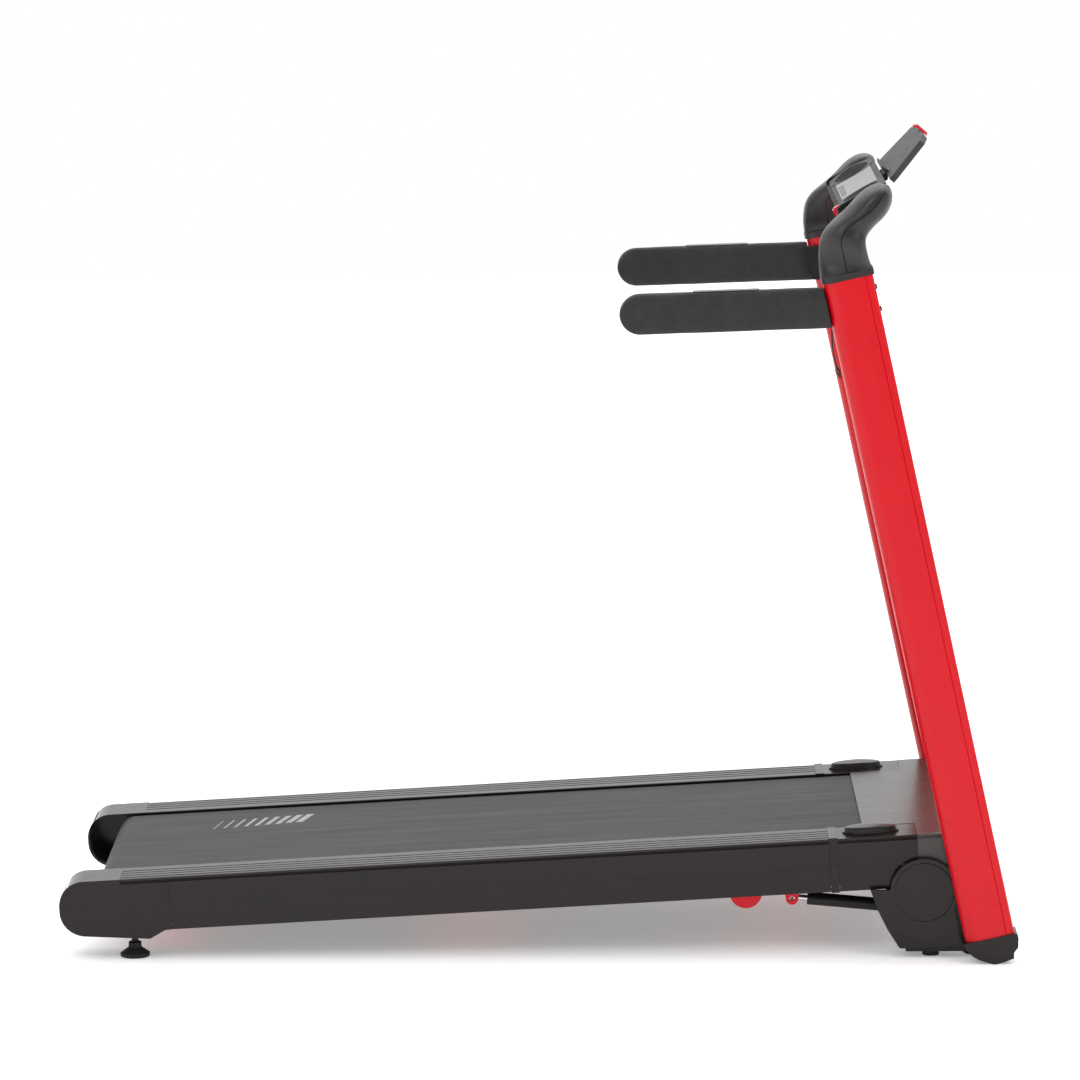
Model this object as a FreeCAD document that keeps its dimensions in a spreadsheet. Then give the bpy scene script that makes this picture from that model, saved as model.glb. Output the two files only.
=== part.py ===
"""Folding motorised treadmill with a flat running deck.

Millimetres, +Z up.  +X points to the console end, -Y is the runner's right-hand side.
The origin is on the floor, under the middle of the machine's bounding box.

Four tilted frames place the pieces:
  deck   origin on the fold pivot, x along the deck's incline, z square to the deck
  lean   origin where the uprights' centre line meets the floor, z up along the uprights
  grip   origin at the rear end of a side handle, x along the handle
  face   origin at the rear edge of the console's face, x along the face
  rest   origin on the tablet holder's hinge, x along its plate
Each left-hand piece (+Y) is modelled, and its right-hand twin is its mirror image.
"""
import FreeCAD, Part
import math
import os
import re

import Sketcher

doc = FreeCAD.newDocument("treadmill")
Vector = FreeCAD.Vector

# ---------------------------------------------------------------------------
# Driving dimensions
# ---------------------------------------------------------------------------

SIZES = [
    # frames
    ("pivot_x", 591.3), ("pivot_z", 103.7), ("incline", 3.05),
    ("upright_x", 698.0), ("lean", 12.2),
    ("grip_x", 160.5), ("grip_z", 996.3), ("grip_rise", 1.75),
    ("face_x", 468.9), ("face_z", 1138.75), ("face_tilt", 30.4),
    ("rest_x", 541.0), ("rest_z", 1173.0), ("rest_tilt", 49.0),
    # deck casing
    ("deck_half", 290.0), ("rail_inner", 205.0), ("rail_top", 87.7), ("rail_foot", 5.6),
    ("rail_ridge", 43.0), ("wall", 2.5), ("cap_tip", -1323.0), ("cap_seam_top", -1227.0),
    ("cap_seam_side", -1153.0), ("cap_low", -7.6), ("strap_rear", -141.0),
    ("strap_front", -128.0), ("strap_proud", 1.2), ("front_cover_end", -6.0),
    # hood
    ("hood_rear", -86.0), ("hood_front", 82.0), ("hood_half", 204.3), ("hood_round", 52.0),
    ("hood_skirt", 16.0),
    # deck frame
    ("tube_in", 240.0), ("tube_out", 276.0), ("tube_low", 12.0), ("tube_high", 50.0),
    ("tube_rear", -1262.0), ("tube_front", 20.0), ("tube_wall", 2.0),
    ("cross_low", 12.0), ("cross_high", 28.0),
    ("board_half", 238.0), ("board_low", 64.0), ("board_high", 81.9),
    ("board_rear", -1205.0), ("board_front", -98.0),
    # belt and rollers
    ("belt_half", 200.0), ("belt_thick", 2.0), ("belt_top", 84.0), ("roller_radius", 24.9),
    ("roller_height", 57.0), ("rear_roller", -1243.0), ("front_roller", -62.0),
    ("roller_half", 203.0), ("axle_radius", 8.0),
    # drive
    ("motor_x", 26.0), ("motor_z", 46.0), ("motor_radius", 34.0), ("pulley_radius", 23.5),
    ("motor_pulley", 14.0), ("drive_in", 208.5), ("drive_out", 222.5),
    # pivot
    ("shaft_radius", 10.0), ("bush_radius", 14.0), ("bracket_radius", 26.0),
    ("bracket_in", 276.2), ("bracket_out", 284.0),
    # base
    ("plate_in", 291.8), ("plate_out", 295.3), ("cover_in", 295.5), ("cover_out", 301.2),
    ("ring_radius", 52.0), ("disc_radius", 45.4), ("step_radius", 74.6),
    ("beam_rear", 680.0), ("beam_front", 716.0), ("beam_low", 18.0), ("beam_high", 54.0),
    ("flange_low", 10.0), ("flange_high", 14.0), ("pad_radius", 13.0), ("pad_x", 603.0),
    ("pad_y", 270.0), ("wheel_x", 662.0), ("wheel_z", 17.0), ("wheel_radius", 15.0),
    # strut and pedal
    ("strut_y", -220.0), ("strut_x", 600.9), ("strut_z", 59.8), ("strut_slope", 5.4),
    ("strut_length", 210.0), ("strut_radius", 10.0), ("rod_radius", 4.5),
    ("pedal_x", -271.0), ("pedal_radius", 25.0), ("pedal_y", -220.0),
    # levelling feet
    ("foot_x", -619.6), ("foot_y", 258.0), ("foot_radius", 22.8), ("stem_x", -1212.8),
    # uprights
    ("upright_y", 318.0), ("upright_half", 38.0), ("upright_thick", 21.0),
    ("upright_low", 40.6), ("upright_high", 1073.0), ("upright_wall", 2.5),
    ("collar_high", 1084.0),
    # side handles
    ("handle_in", 301.0), ("handle_out", 335.0), ("handle_half", 31.0),
    ("handle_end", 275.5), ("handle_slant", 11.4), ("core_half", 8.0),
    # console
    ("console_half", 214.0), ("face_length", 76.0), ("face_half", 203.0),
    ("grille_x", 37.0), ("grille_y", 152.0), ("grille_long", 30.0), ("grille_wide", 44.0),
    ("button_half", 9.0),
    # tablet holder
    ("rest_length", 89.0), ("rest_half", 150.0), ("rest_top_half", 112.0), ("rest_thick", 4.8),
    # lanyard
    ("cord_radius", 1.3), ("cord_y", -150.0),
]

sheet = doc.addObject("Spreadsheet::Sheet", "Params")
for row, (alias, value) in enumerate(SIZES, start=1):
    sheet.set("A%d" % row, alias.replace("_", " "))
    sheet.set("B%d" % row, "%g" % value)
    sheet.setAlias("B%d" % row, alias)
doc.recompute()

ALIASES = {alias for alias, value in SIZES}


def bind(text):
    """An expression in which each alias is looked up in the sheet."""
    def lookup(match):
        word = match.group(0)
        return "Params." + word if word in ALIASES else word
    return re.sub(r"[a-z]+(?:_[a-z]+)*", lookup, str(text))


def number(text):
    """The present value of an expression."""
    return float(sheet.evalExpression(bind(text)))


# ---------------------------------------------------------------------------
# Frames
# ---------------------------------------------------------------------------

def tilted(x, z, degrees, y="0"):
    """A frame at (x, y, z) whose x axis rises towards +X by the given angle."""
    base = Vector(number(x), number(y), number(z))
    return FreeCAD.Placement(base, FreeCAD.Rotation(Vector(0, -1, 0), number(degrees)))


WORLD = FreeCAD.Placement()
DECK = tilted("pivot_x", "pivot_z", "incline")
LEAN = tilted("upright_x", "0", "lean")
GRIP = tilted("grip_x", "grip_z", "grip_rise")
FACE = tilted("face_x", "face_z", "face_tilt")
REST = tilted("rest_x", "rest_z", "rest_tilt")
STRUT = tilted("strut_x", "strut_z", "180-strut_slope")

nodes = {}


def keep(name, piece):
    """Register a finished piece under its node name."""
    piece.Label = name
    nodes[name] = piece
    return piece


def mirrored(left):
    """The right-hand mirror image of a left-hand piece."""
    mirror = doc.addObject("Part::Mirroring", "mirror")
    mirror.Source = left
    mirror.Base = Vector(0, 0, 0)
    mirror.Normal = Vector(0, 1, 0)
    return mirror


def twins(name, left):
    """Register a left-hand piece and its mirror image as two nodes."""
    keep(name + "_left", left)
    keep(name + "_right", mirrored(left))


def gather(*pieces):
    """Several separate solids as one object."""
    group = doc.addObject("Part::Compound", "group")
    group.Links = list(pieces)
    return group


def place(piece, frame):
    """Carry a piece into its frame without disturbing its own bound position."""
    carrier = gather(piece)
    carrier.Placement = frame
    return carrier


def pair(name, *lefts):
    """Register left-hand pieces and their mirror images together as one node."""
    return keep(name, gather(*lefts, *[mirrored(left) for left in lefts]))


# ---------------------------------------------------------------------------
# PartDesign helpers.  "side" sketches lie in XZ and extrude along Y, "section"
# sketches lie in YZ and extrude along X, "plan" sketches lie in XY and extrude along Z.
# ---------------------------------------------------------------------------

PLANES = {"side": "XZ_Plane", "section": "YZ_Plane", "plan": "XY_Plane"}
NORMAL_SIGN = {"side": -1, "section": 1, "plan": 1}


def new_body(name, frame):
    body = doc.addObject("PartDesign::Body", name)
    body.Placement = frame
    return body


def new_node(name, frame):
    """A body that is a node by itself."""
    return keep(name, new_body(name, frame))


def new_sketch(body, view, offset):
    """An empty sketch on the body's own plane, moved along it to the given offset."""
    sketch = body.newObject("Sketcher::SketchObject", body.Name + "_sketch")
    plane = [f for f in body.Origin.OriginFeatures if f.Role == PLANES[view]][0]
    sketch.AttachmentSupport = [(plane, "")]
    sketch.MapMode = "FlatFace"
    sketch.setExpression("AttachmentOffset.Base.z",
                         bind("%d*(%s)" % (NORMAL_SIGN[view], offset)))
    return sketch


def draw_polygon(sketch, points):
    """A closed polygon whose corners are bound to expressions."""
    corners = [Vector(number(a), number(b), 0) for a, b in points]
    first = sketch.GeometryCount
    count = len(corners)
    for i in range(count):
        sketch.addGeometry(Part.LineSegment(corners[i], corners[(i + 1) % count]), False)
    for i in range(count):
        sketch.addConstraint(Sketcher.Constraint(
            "Coincident", first + i, 2, first + (i + 1) % count, 1))
    for i, (a, b) in enumerate(points):
        for kind, text, value in (("DistanceX", a, corners[i].x), ("DistanceY", b, corners[i].y)):
            index = sketch.addConstraint(Sketcher.Constraint(kind, -1, 1, first + i, 1, value))
            label = "%s%d" % (kind[-1].lower() * 2, first + i)
            sketch.renameConstraint(index, label)
            sketch.setExpression("Constraints." + label, bind(text))


def draw_circle(sketch, a, b, radius):
    """A circle whose centre and radius are bound to expressions."""
    centre = Vector(number(a), number(b), 0)
    geo = sketch.addGeometry(Part.Circle(centre, Vector(0, 0, 1), number(radius)), False)
    for kind, text, value in (("DistanceX", a, centre.x), ("DistanceY", b, centre.y)):
        index = sketch.addConstraint(Sketcher.Constraint(kind, -1, 1, geo, 3, value))
        label = "%sc%d" % (kind[-1].lower(), geo)
        sketch.renameConstraint(index, label)
        sketch.setExpression("Constraints." + label, bind(text))
    index = sketch.addConstraint(Sketcher.Constraint("Radius", geo, number(radius)))
    label = "rr%d" % geo
    sketch.renameConstraint(index, label)
    sketch.setExpression("Constraints." + label, bind(radius))


def extrude(body, sketch, view, start, end, cut):
    """Pad or pocket a sketch from start to end, and check that it changed the solid."""
    before = body.Shape.Volume if body.Tip and not body.Shape.isNull() else 0.0
    kind = "Pocket" if cut else "Pad"
    feature = body.newObject("PartDesign::" + kind, body.Name + "_" + kind.lower())
    feature.Profile = (sketch, [""])
    forward = (number(end) > number(start)) == (NORMAL_SIGN[view] > 0)
    feature.Reversed = forward if cut else not forward
    feature.setExpression("Length", bind("abs((%s)-(%s))" % (end, start)))
    doc.recompute()
    after = body.Shape.Volume
    if (cut and after >= before - 1e-3) or (not cut and after <= before + 1e-3):
        raise RuntimeError("%s: a %s changed nothing" % (body.Label, kind))
    return feature


def prism(body, view, points, start, end, cut=False):
    sketch = new_sketch(body, view, start)
    draw_polygon(sketch, points)
    return extrude(body, sketch, view, start, end, cut)


def disc(body, view, a, b, radius, start, end, cut=False):
    sketch = new_sketch(body, view, start)
    draw_circle(sketch, a, b, radius)
    return extrude(body, sketch, view, start, end, cut)


def turn(body, view, profile):
    """Revolve a (radius, height) profile about the sketch's vertical axis."""
    sketch = new_sketch(body, view, "0")
    draw_polygon(sketch, profile)
    feature = body.newObject("PartDesign::Revolution", body.Name + "_turn")
    feature.Profile = (sketch, [""])
    feature.ReferenceAxis = (sketch, ["V_Axis"])
    feature.Angle = 360
    doc.recompute()
    return feature


def round_edges(body, radius, chosen):
    """Fillet the edges of the body's tip that the test picks out."""
    shape = body.Tip.Shape
    names = ["Edge%d" % (i + 1) for i, edge in enumerate(shape.Edges) if chosen(edge)]
    if not names:
        raise RuntimeError(body.Label + ": no edge to round")
    tip = body.Tip
    feature = body.newObject("PartDesign::Fillet", body.Name + "_fillet")
    feature.Base = (tip, names)
    feature.setExpression("Radius", bind(radius))
    doc.recompute()
    if feature.Shape.isNull() or "Invalid" in feature.State:
        raise RuntimeError("%s: fillet of %s failed" % (body.Label, radius))
    return feature


def along(axis, corners):
    """A test for straight edges along an axis through the given corners."""
    spots = [(number(a), number(b)) for a, b in corners]

    def chosen(edge):
        ends = [v.Point for v in edge.Vertexes]
        if len(ends) != 2:
            return False
        if axis == "y":
            flat = [(p.x, p.z) for p in ends]
        elif axis == "x":
            flat = [(p.y, p.z) for p in ends]
        else:
            flat = [(p.x, p.y) for p in ends]
        if math.dist(flat[0], flat[1]) > 0.01:
            return False
        return any(math.dist(flat[0], spot) < 0.05 for spot in spots)
    return chosen


def in_plane(axis, value):
    """A test for edges that lie in a plane square to an axis."""
    level = number(value)

    def chosen(edge):
        box = edge.BoundBox
        low, high = {"x": (box.XMin, box.XMax), "y": (box.YMin, box.YMax),
                     "z": (box.ZMin, box.ZMax)}[axis]
        return abs(low - level) < 0.02 and abs(high - level) < 0.02
    return chosen


# ---------------------------------------------------------------------------
# Part primitives and booleans, each bound to the sheet
# ---------------------------------------------------------------------------

def place_bound(piece, x, y, z):
    for axis, text in (("x", x), ("y", y), ("z", z)):
        piece.setExpression("Placement.Base." + axis, bind(text))


def block(x0, x1, y0, y1, z0, z1):
    box = doc.addObject("Part::Box", "block")
    box.setExpression("Length", bind("(%s)-(%s)" % (x1, x0)))
    box.setExpression("Width", bind("(%s)-(%s)" % (y1, y0)))
    box.setExpression("Height", bind("(%s)-(%s)" % (z1, z0)))
    place_bound(box, x0, y0, z0)
    return box


def rod(axis, a, b, radius, start, end):
    """A cylinder along an axis; a and b are its centre on the other two axes in order."""
    cylinder = doc.addObject("Part::Cylinder", "rod")
    cylinder.setExpression("Radius", bind(radius))
    cylinder.setExpression("Height", bind("(%s)-(%s)" % (end, start)))
    turns = {"x": FreeCAD.Rotation(Vector(0, 1, 0), 90),
             "y": FreeCAD.Rotation(Vector(1, 0, 0), -90),
             "z": FreeCAD.Rotation()}
    cylinder.Placement = FreeCAD.Placement(Vector(), turns[axis])
    spots = {"x": (start, a, b), "y": (a, start, b), "z": (a, b, start)}
    place_bound(cylinder, *spots[axis])
    return cylinder


def fuse(*pieces):
    union = doc.addObject("Part::MultiFuse", "union")
    union.Shapes = list(pieces)
    return union


def cut(base, *tools):
    tool = tools[0] if len(tools) == 1 else fuse(*tools)
    difference = doc.addObject("Part::Cut", "difference")
    difference.Base = base
    difference.Tool = tool
    return difference


def common(base, tool):
    overlap = doc.addObject("Part::Common", "overlap")
    overlap.Base = base
    overlap.Tool = tool
    return overlap


def finish(name, piece, frame):
    """Put a boolean's result in its frame and register it."""
    return keep(name, place(piece, frame))


# ---------------------------------------------------------------------------
# Deck: side rails, rear caps, front covers, straps and bumper pads
# ---------------------------------------------------------------------------

def rail_section(ribbed, lip):
    """The side rail's section: an open channel with a ridge, a groove and top ribs."""
    top = "rail_top"
    points = [("deck_half-%g" % lip, "rail_foot"), ("deck_half-2.4", "rail_foot"),
              ("deck_half", "rail_ridge-0.7"), ("deck_half-1.2", "rail_ridge+0.8"),
              ("deck_half-1.9", "rail_top-7.6"),
              ("deck_half-2.5", "rail_top-7.0"), ("deck_half-1.9", "rail_top-6.4"),
              ("deck_half-2.6", "rail_top-3.2"), ("deck_half-5.6", top + "-0.5")]
    if ribbed:
        for groove in (14, 29, 44, 59):
            points += [("deck_half-%g" % groove, top), ("deck_half-%g" % groove, top + "-1.5"),
                       ("deck_half-%g" % (groove + 4), top + "-1.5"),
                       ("deck_half-%g" % (groove + 4), top)]
    points += [("rail_inner+1.2", top), ("rail_inner", top + "-1"), ("rail_inner", top + "-3.2"),
               ("rail_inner+2", top + "-3.2"), ("rail_inner+3.4", top + "-wall"),
               ("deck_half-6.4", top + "-wall-0.5"), ("deck_half-5.2", "rail_top-7.6"),
               ("deck_half-wall", "rail_ridge"), ("deck_half-4.9", "rail_foot+wall"),
               ("deck_half-%g" % lip, "rail_foot+wall")]
    return points


foot_rail = new_body("foot_rail", DECK)
prism(foot_rail, "section", rail_section(True, 22), "cap_seam_top", "strap_rear-0.3")
prism(foot_rail, "section",
      [("deck_half-60", "rail_foot-5"), ("deck_half+5", "rail_foot-5"),
       ("deck_half+5", "rail_top-8.3"), ("deck_half-60", "rail_top-8.3")],
      "cap_seam_top-5", "cap_seam_side", cut=True)
twins("foot_rail", foot_rail)

CAP_OUTLINE = [("cap_seam_side-0.3", "rail_foot"), ("cap_seam_side-0.3", "rail_top-8.6"),
               ("cap_seam_top-0.3", "rail_top-8.6"), ("cap_seam_top-0.3", "rail_top"),
               ("cap_tip", "rail_top"), ("cap_tip", "rail_foot-0.3"),
               ("cap_seam_side-34", "cap_low"), ("cap_seam_side-10", "rail_foot-0.6")]
rear_cap = new_body("rear_cap", DECK)
prism(rear_cap, "side", CAP_OUTLINE, "rail_inner", "deck_half")
round_edges(rear_cap, "38", along("y", [("cap_tip", "rail_top")]))
round_edges(rear_cap, "40", along("y", [("cap_tip", "rail_foot-0.3")]))
round_edges(rear_cap, "6", along("y", [("cap_seam_side-34", "cap_low"),
                                       ("cap_seam_side-10", "rail_foot-0.6")]))
# the side leans in above and below the ridge
prism(rear_cap, "section",
      [("deck_half", "rail_ridge-0.7"), ("deck_half+3", "rail_ridge-0.7"),
       ("deck_half+3", "rail_top+2"), ("deck_half-2.8", "rail_top+2"),
       ("deck_half-1.2", "rail_ridge+0.8")],
      "cap_tip-5", "cap_seam_side+5", cut=True)
prism(rear_cap, "section",
      [("deck_half", "rail_ridge-0.9"), ("deck_half+3", "rail_ridge-0.9"),
       ("deck_half+3", "cap_low-2"), ("deck_half-3.2", "cap_low-2")],
      "cap_tip-5", "cap_seam_side+5", cut=True)
# the cap is a cup, open towards the belt
prism(rear_cap, "side",
      [("cap_seam_side+1", "rail_foot+wall"), ("cap_seam_side+1", "rail_top-11.4"),
                    ("cap_seam_top-3", "rail_top-11.4"), ("cap_seam_top-3", "rail_top-3"),
                    ("cap_tip+26", "rail_top-3"), ("cap_tip+12", "rail_top-9.5"),
                    ("cap_tip+4.5", "rail_top-24"), ("cap_tip+3", "rail_ridge+4"),
                    ("cap_tip+5", "rail_ridge-12"), ("cap_tip+14", "rail_ridge-28"),
                    ("cap_tip+32", "rail_foot+1.5"), ("cap_seam_side-36", "cap_low+4"),
                    ("cap_seam_side-12", "rail_foot+wall+0.6")],
                   "rail_inner-1", "deck_half-5.4", cut=True)
# the shelf under the rail stops short of the running board
prism(rear_cap, "side",
      [("cap_seam_top+4", "rail_top-14"), ("cap_seam_top+4", "rail_top-6"),
       ("cap_seam_side+1", "rail_top-6"), ("cap_seam_side+1", "rail_top-14")],
      "rail_inner-1", "board_half+2", cut=True)
# the levelling foot's stem passes through the floor
disc(rear_cap, "plan", "stem_x", "foot_y", "7.5", "-20", "20", cut=True)
pair("rear_caps", rear_cap)

front_cover = new_body("front_cover", DECK)
prism(front_cover, "section", rail_section(False, 5), "strap_front+0.3", "front_cover_end")
disc(front_cover, "side", "0", "0", "shaft_radius+3", "bracket_in", "deck_half+2", cut=True)
pair("rail_front_covers", front_cover)

strap = new_body("strap", DECK)
prism(strap, "section",
      [("deck_half-20", "rail_foot-strap_proud-0.2"), ("deck_half-1.2", "rail_foot-strap_proud-0.2"),
       ("deck_half+strap_proud", "rail_ridge"), ("deck_half-1.4", "rail_top-3"),
       ("deck_half-4.8", "rail_top+strap_proud"), ("rail_inner", "rail_top+strap_proud"),
       ("rail_inner", "rail_top-wall-0.3"), ("deck_half-6.6", "rail_top-wall-1.4"),
       ("deck_half-wall-0.4", "rail_ridge"), ("deck_half-5", "rail_foot+wall"),
       ("deck_half-20", "rail_foot+wall")],
      "strap_rear", "strap_front")
pair("joint_straps", strap)

def oval(low, half_x, half_y, half_z):
    """An ellipsoid centred over a bumper pad's middle, at a height over the rail's top."""
    body = doc.addObject("Part::Ellipsoid", "oval")
    for name, value in (("Radius1", half_z), ("Radius2", half_x), ("Radius3", half_y)):
        body.setExpression(name, bind(value))
    place_bound(body, "-75", "245", "rail_top+(%s)" % low)
    return body


# a flat rim with a crowned, steep-sided cushion on it
pad_rim = common(oval("-1", "43.5", "20.5", "26"),
                 block("-130", "-20", "220", "270", "rail_top", "rail_top+2.4"))
pad_cushion = common(common(oval("0", "40.5", "18", "30"), oval("-4", "62", "34", "16")),
                     block("-130", "-20", "220", "270", "rail_top", "rail_top+14"))
pair("bumper_pads", place(fuse(pad_rim, pad_cushion), DECK))

# ---------------------------------------------------------------------------
# Deck: motor hood, underpan
# ---------------------------------------------------------------------------

HOOD_FULL = [("front_cover_end+0.3", "hood_skirt"), ("front_cover_end+0.3", "rail_top+0.3"),
             ("hood_front", "rail_top+0.3"), ("hood_front", "hood_skirt")]
hood = new_node("motor_hood", DECK)
prism(hood, "side", HOOD_FULL, "-(deck_half-0.6)", "deck_half-0.6")
round_edges(hood, "hood_round", along("y", [("hood_front", "rail_top+0.3")]))
prism(hood, "side",
      [("hood_rear", "rail_top-2.4"), ("hood_rear", "rail_top+0.3"),
       ("front_cover_end+1", "rail_top+0.3"), ("front_cover_end+1", "rail_top-2.4")],
      "-hood_half", "hood_half")
round_edges(hood, "7", lambda edge: (
    min(abs(v.Y) for v in edge.Vertexes) > 285 and edge.BoundBox.YLength < 0.1
    and edge.BoundBox.ZMax > number("hood_skirt+10") and edge.BoundBox.XLength > 5))
hood_curve = [("hood_front-hood_round+(hood_round-3)*%.4f" % math.cos(math.radians(a)),
               "rail_top-hood_round+(hood_round-3)*%.4f" % math.sin(math.radians(a)))
              for a in (90, 72, 54, 36, 18, 0)]
prism(hood, "side",
      [("front_cover_end-20", "hood_skirt-5"), ("front_cover_end-20", "rail_top-3")] + hood_curve
      + [("hood_front-3", "hood_skirt-5")], "-(deck_half-10)", "deck_half-10", cut=True)
prism(hood, "side",
      [("front_cover_end-20", "hood_skirt-5"), ("front_cover_end-20", "rail_top-10"),
       ("hood_front-50", "rail_top-10"), ("hood_front-12", "rail_top-50"),
       ("hood_front-12", "hood_skirt-5")],
      "-(deck_half-3)", "deck_half-3", cut=True)
# openings in the front wall for the mains inlet and the switch
prism(hood, "section", [("-164", "18"), ("-136", "18"), ("-136", "34"), ("-164", "34")],
      "hood_front-8", "hood_front+5", cut=True)
prism(hood, "section", [("-124", "18"), ("-108", "18"), ("-108", "34"), ("-124", "34")],
      "hood_front-8", "hood_front+5", cut=True)

finish("motor_underpan",
       fuse(block("-94", "52", "-rail_inner+2", "rail_inner-2", "4", "6.5"),
            block("-94", "-91", "-rail_inner+2", "rail_inner-2", "6.5", "22")), DECK)

# ---------------------------------------------------------------------------
# Deck frame: side tubes, crossmembers, board, cushions
# ---------------------------------------------------------------------------

side_tube = new_body("side_tube", DECK)
prism(side_tube, "section",
      [("tube_in", "tube_low"), ("tube_out", "tube_low"),
       ("tube_out", "tube_high"), ("tube_in", "tube_high")], "tube_rear", "tube_front")
round_edges(side_tube, "4", along("x", [("tube_in", "tube_low"), ("tube_out", "tube_low"),
                                        ("tube_out", "tube_high"), ("tube_in", "tube_high")]))
prism(side_tube, "section",
      [("tube_in+tube_wall", "tube_low+tube_wall"), ("tube_out-tube_wall", "tube_low+tube_wall"),
       ("tube_out-tube_wall", "tube_high-tube_wall"), ("tube_in+tube_wall", "tube_high-tube_wall")],
      "tube_rear-5", "tube_front+5", cut=True)
disc(side_tube, "plan", "stem_x+1", "foot_y", "5.8", "0", "tube_low+10", cut=True)

bracket = new_body("bracket", DECK)
prism(bracket, "side", [("-78", "14"), ("-24", "-12"), ("24", "-12"), ("30", "14"),
                        ("20", "46"), ("-70", "46")], "tube_out", "bracket_out")
disc(bracket, "side", "0", "0", "bracket_radius", "tube_out", "bracket_out")
disc(bracket, "side", "0", "0", "bush_radius", "tube_out-5", "bracket_out+5", cut=True)

cushion_rows = ("-1100", "-850", "-600", "-350", "-150")
ledges = [place(block("(%s)-16" % x, "(%s)+16" % x, "221", "tube_in", "tube_high-3", "tube_high"),
                DECK) for x in cushion_rows]
pair("deck_side_tubes", fuse(side_tube, bracket, *ledges))

bush = cut(fuse(rod("y", "0", "0", "bush_radius-0.01", "tube_out", "bracket_out"),
                rod("y", "0", "0", "bush_radius+1.6", "bracket_out", "bracket_out+1")),
           rod("y", "0", "0", "shaft_radius+0.05", "tube_out-5", "bracket_out+10"))
pair("pivot_bushes", place(bush, DECK))


def crossmember(x0, x1):
    return cut(block(x0, x1, "-tube_in", "tube_in", "cross_low", "cross_high"),
               block("(%s)+2" % x0, "(%s)-2" % x1, "-tube_in-1", "tube_in+1",
                     "cross_low+2", "cross_high-2"))


def lug_ear(y0, y1):
    """A flat ear under the front crossmember, with the strut pin's hole."""
    plate = fuse(block("-210.1", "-190.9", y0, y1, "-13.5", "cross_low"),
                 rod("y", "-200.5", "-13.5", "9.6", y0, y1))
    return cut(plate, rod("y", "-200.5", "-13.5", "4.1", "(%s)-1" % y0, "(%s)+1" % y1))


front_crossmember = fuse(crossmember("-222", "-184"), lug_ear("strut_y-15", "strut_y-11"),
                         lug_ear("strut_y+11", "strut_y+15"))


def pedal_ear(y0, y1):
    plate = fuse(block("pedal_x-9", "pedal_x+9", y0, y1, "0", "cross_low"),
                 rod("y", "pedal_x", "0", "9", y0, y1))
    return cut(plate, rod("y", "pedal_x", "0", "4.0", "(%s)-1" % y0, "(%s)+1" % y1))


latch_bracket = fuse(
    block("pedal_x-30", "pedal_x+30", "-tube_in", "pedal_y+18", "cross_low", "cross_low+4"),
    pedal_ear("pedal_y-19", "pedal_y-16"), pedal_ear("pedal_y+13", "pedal_y+16"),
    rod("y", "pedal_x", "0", "4.0", "pedal_y-20", "pedal_y+17"))
finish("deck_crossmembers",
       gather(crossmember("-1188", "-1150"), crossmember("-720", "-682"), front_crossmember,
              latch_bracket), DECK)

board = new_node("running_board", DECK)
prism(board, "side", [("board_rear", "board_low"), ("board_rear", "board_high"),
                      ("board_front", "board_high"), ("board_front", "board_low")],
      "-board_half", "board_half")
round_edges(board, "6", along("y", [("board_rear", "board_high"), ("board_front", "board_high")]))


def cushion(x):
    """A rubber deck cushion: a barrel with a waist, between the side tube and the board."""
    barrel = cut(rod("z", x, "256-20", "15", "tube_high", "board_low"),
                 block("(%s)-20" % x, "(%s)+20" % x, "board_half", "board_half+30",
                       "tube_high-1", "board_low+1"))
    return common(barrel, block("(%s)-20" % x, "(%s)+20" % x, "tube_in-14", "board_half",
                                "tube_high", "board_low"))


pair("board_cushions", place(gather(*[cushion(x) for x in cushion_rows]), DECK))

# ---------------------------------------------------------------------------
# Belt, rollers and drive
# ---------------------------------------------------------------------------

def loop(radius, y0, y1):
    """A stadium-shaped solid around both rollers."""
    return fuse(block("rear_roller", "front_roller", y0, y1,
                      "roller_height-(%s)" % radius, "roller_height+(%s)" % radius),
                rod("y", "rear_roller", "roller_height", radius, y0, y1),
                rod("y", "front_roller", "roller_height", radius, y0, y1))


finish("running_belt",
       cut(loop("belt_top-roller_height", "-belt_half", "belt_half"),
           loop("belt_top-roller_height-belt_thick", "-belt_half-1", "belt_half+1")), DECK)


def roller(x, *extras):
    """A steel tube with a bearing disc and a bore at each end."""
    tube = cut(rod("y", x, "roller_height", "roller_radius", "-roller_half", "roller_half"),
               rod("y", x, "roller_height", "roller_radius-3", "-roller_half+9", "roller_half-9"))
    whole = fuse(tube, *extras) if extras else tube
    return cut(whole, rod("y", x, "roller_height", "axle_radius+0.05", "-tube_in", "tube_in"))


def roller_axle(x):
    """A fixed axle with a clamp block on each side tube."""
    blocks = [block("(%s)-14" % x, "(%s)+14" % x, a, b, "tube_high", "roller_height+11")
              for a, b in (("tube_in", "tube_in+16"), ("-tube_in-16", "-tube_in"))]
    return fuse(rod("y", x, "roller_height", "axle_radius", "-tube_in", "tube_in"), *blocks)


finish("rear_roller", roller("rear_roller"), DECK)
finish("front_roller",
       roller("front_roller",
              rod("y", "front_roller", "roller_height", "17", "roller_half", "drive_in"),
              rod("y", "front_roller", "roller_height", "pulley_radius", "drive_in", "drive_out")),
       DECK)
finish("roller_axles", gather(roller_axle("rear_roller"), roller_axle("front_roller")), DECK)

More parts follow.
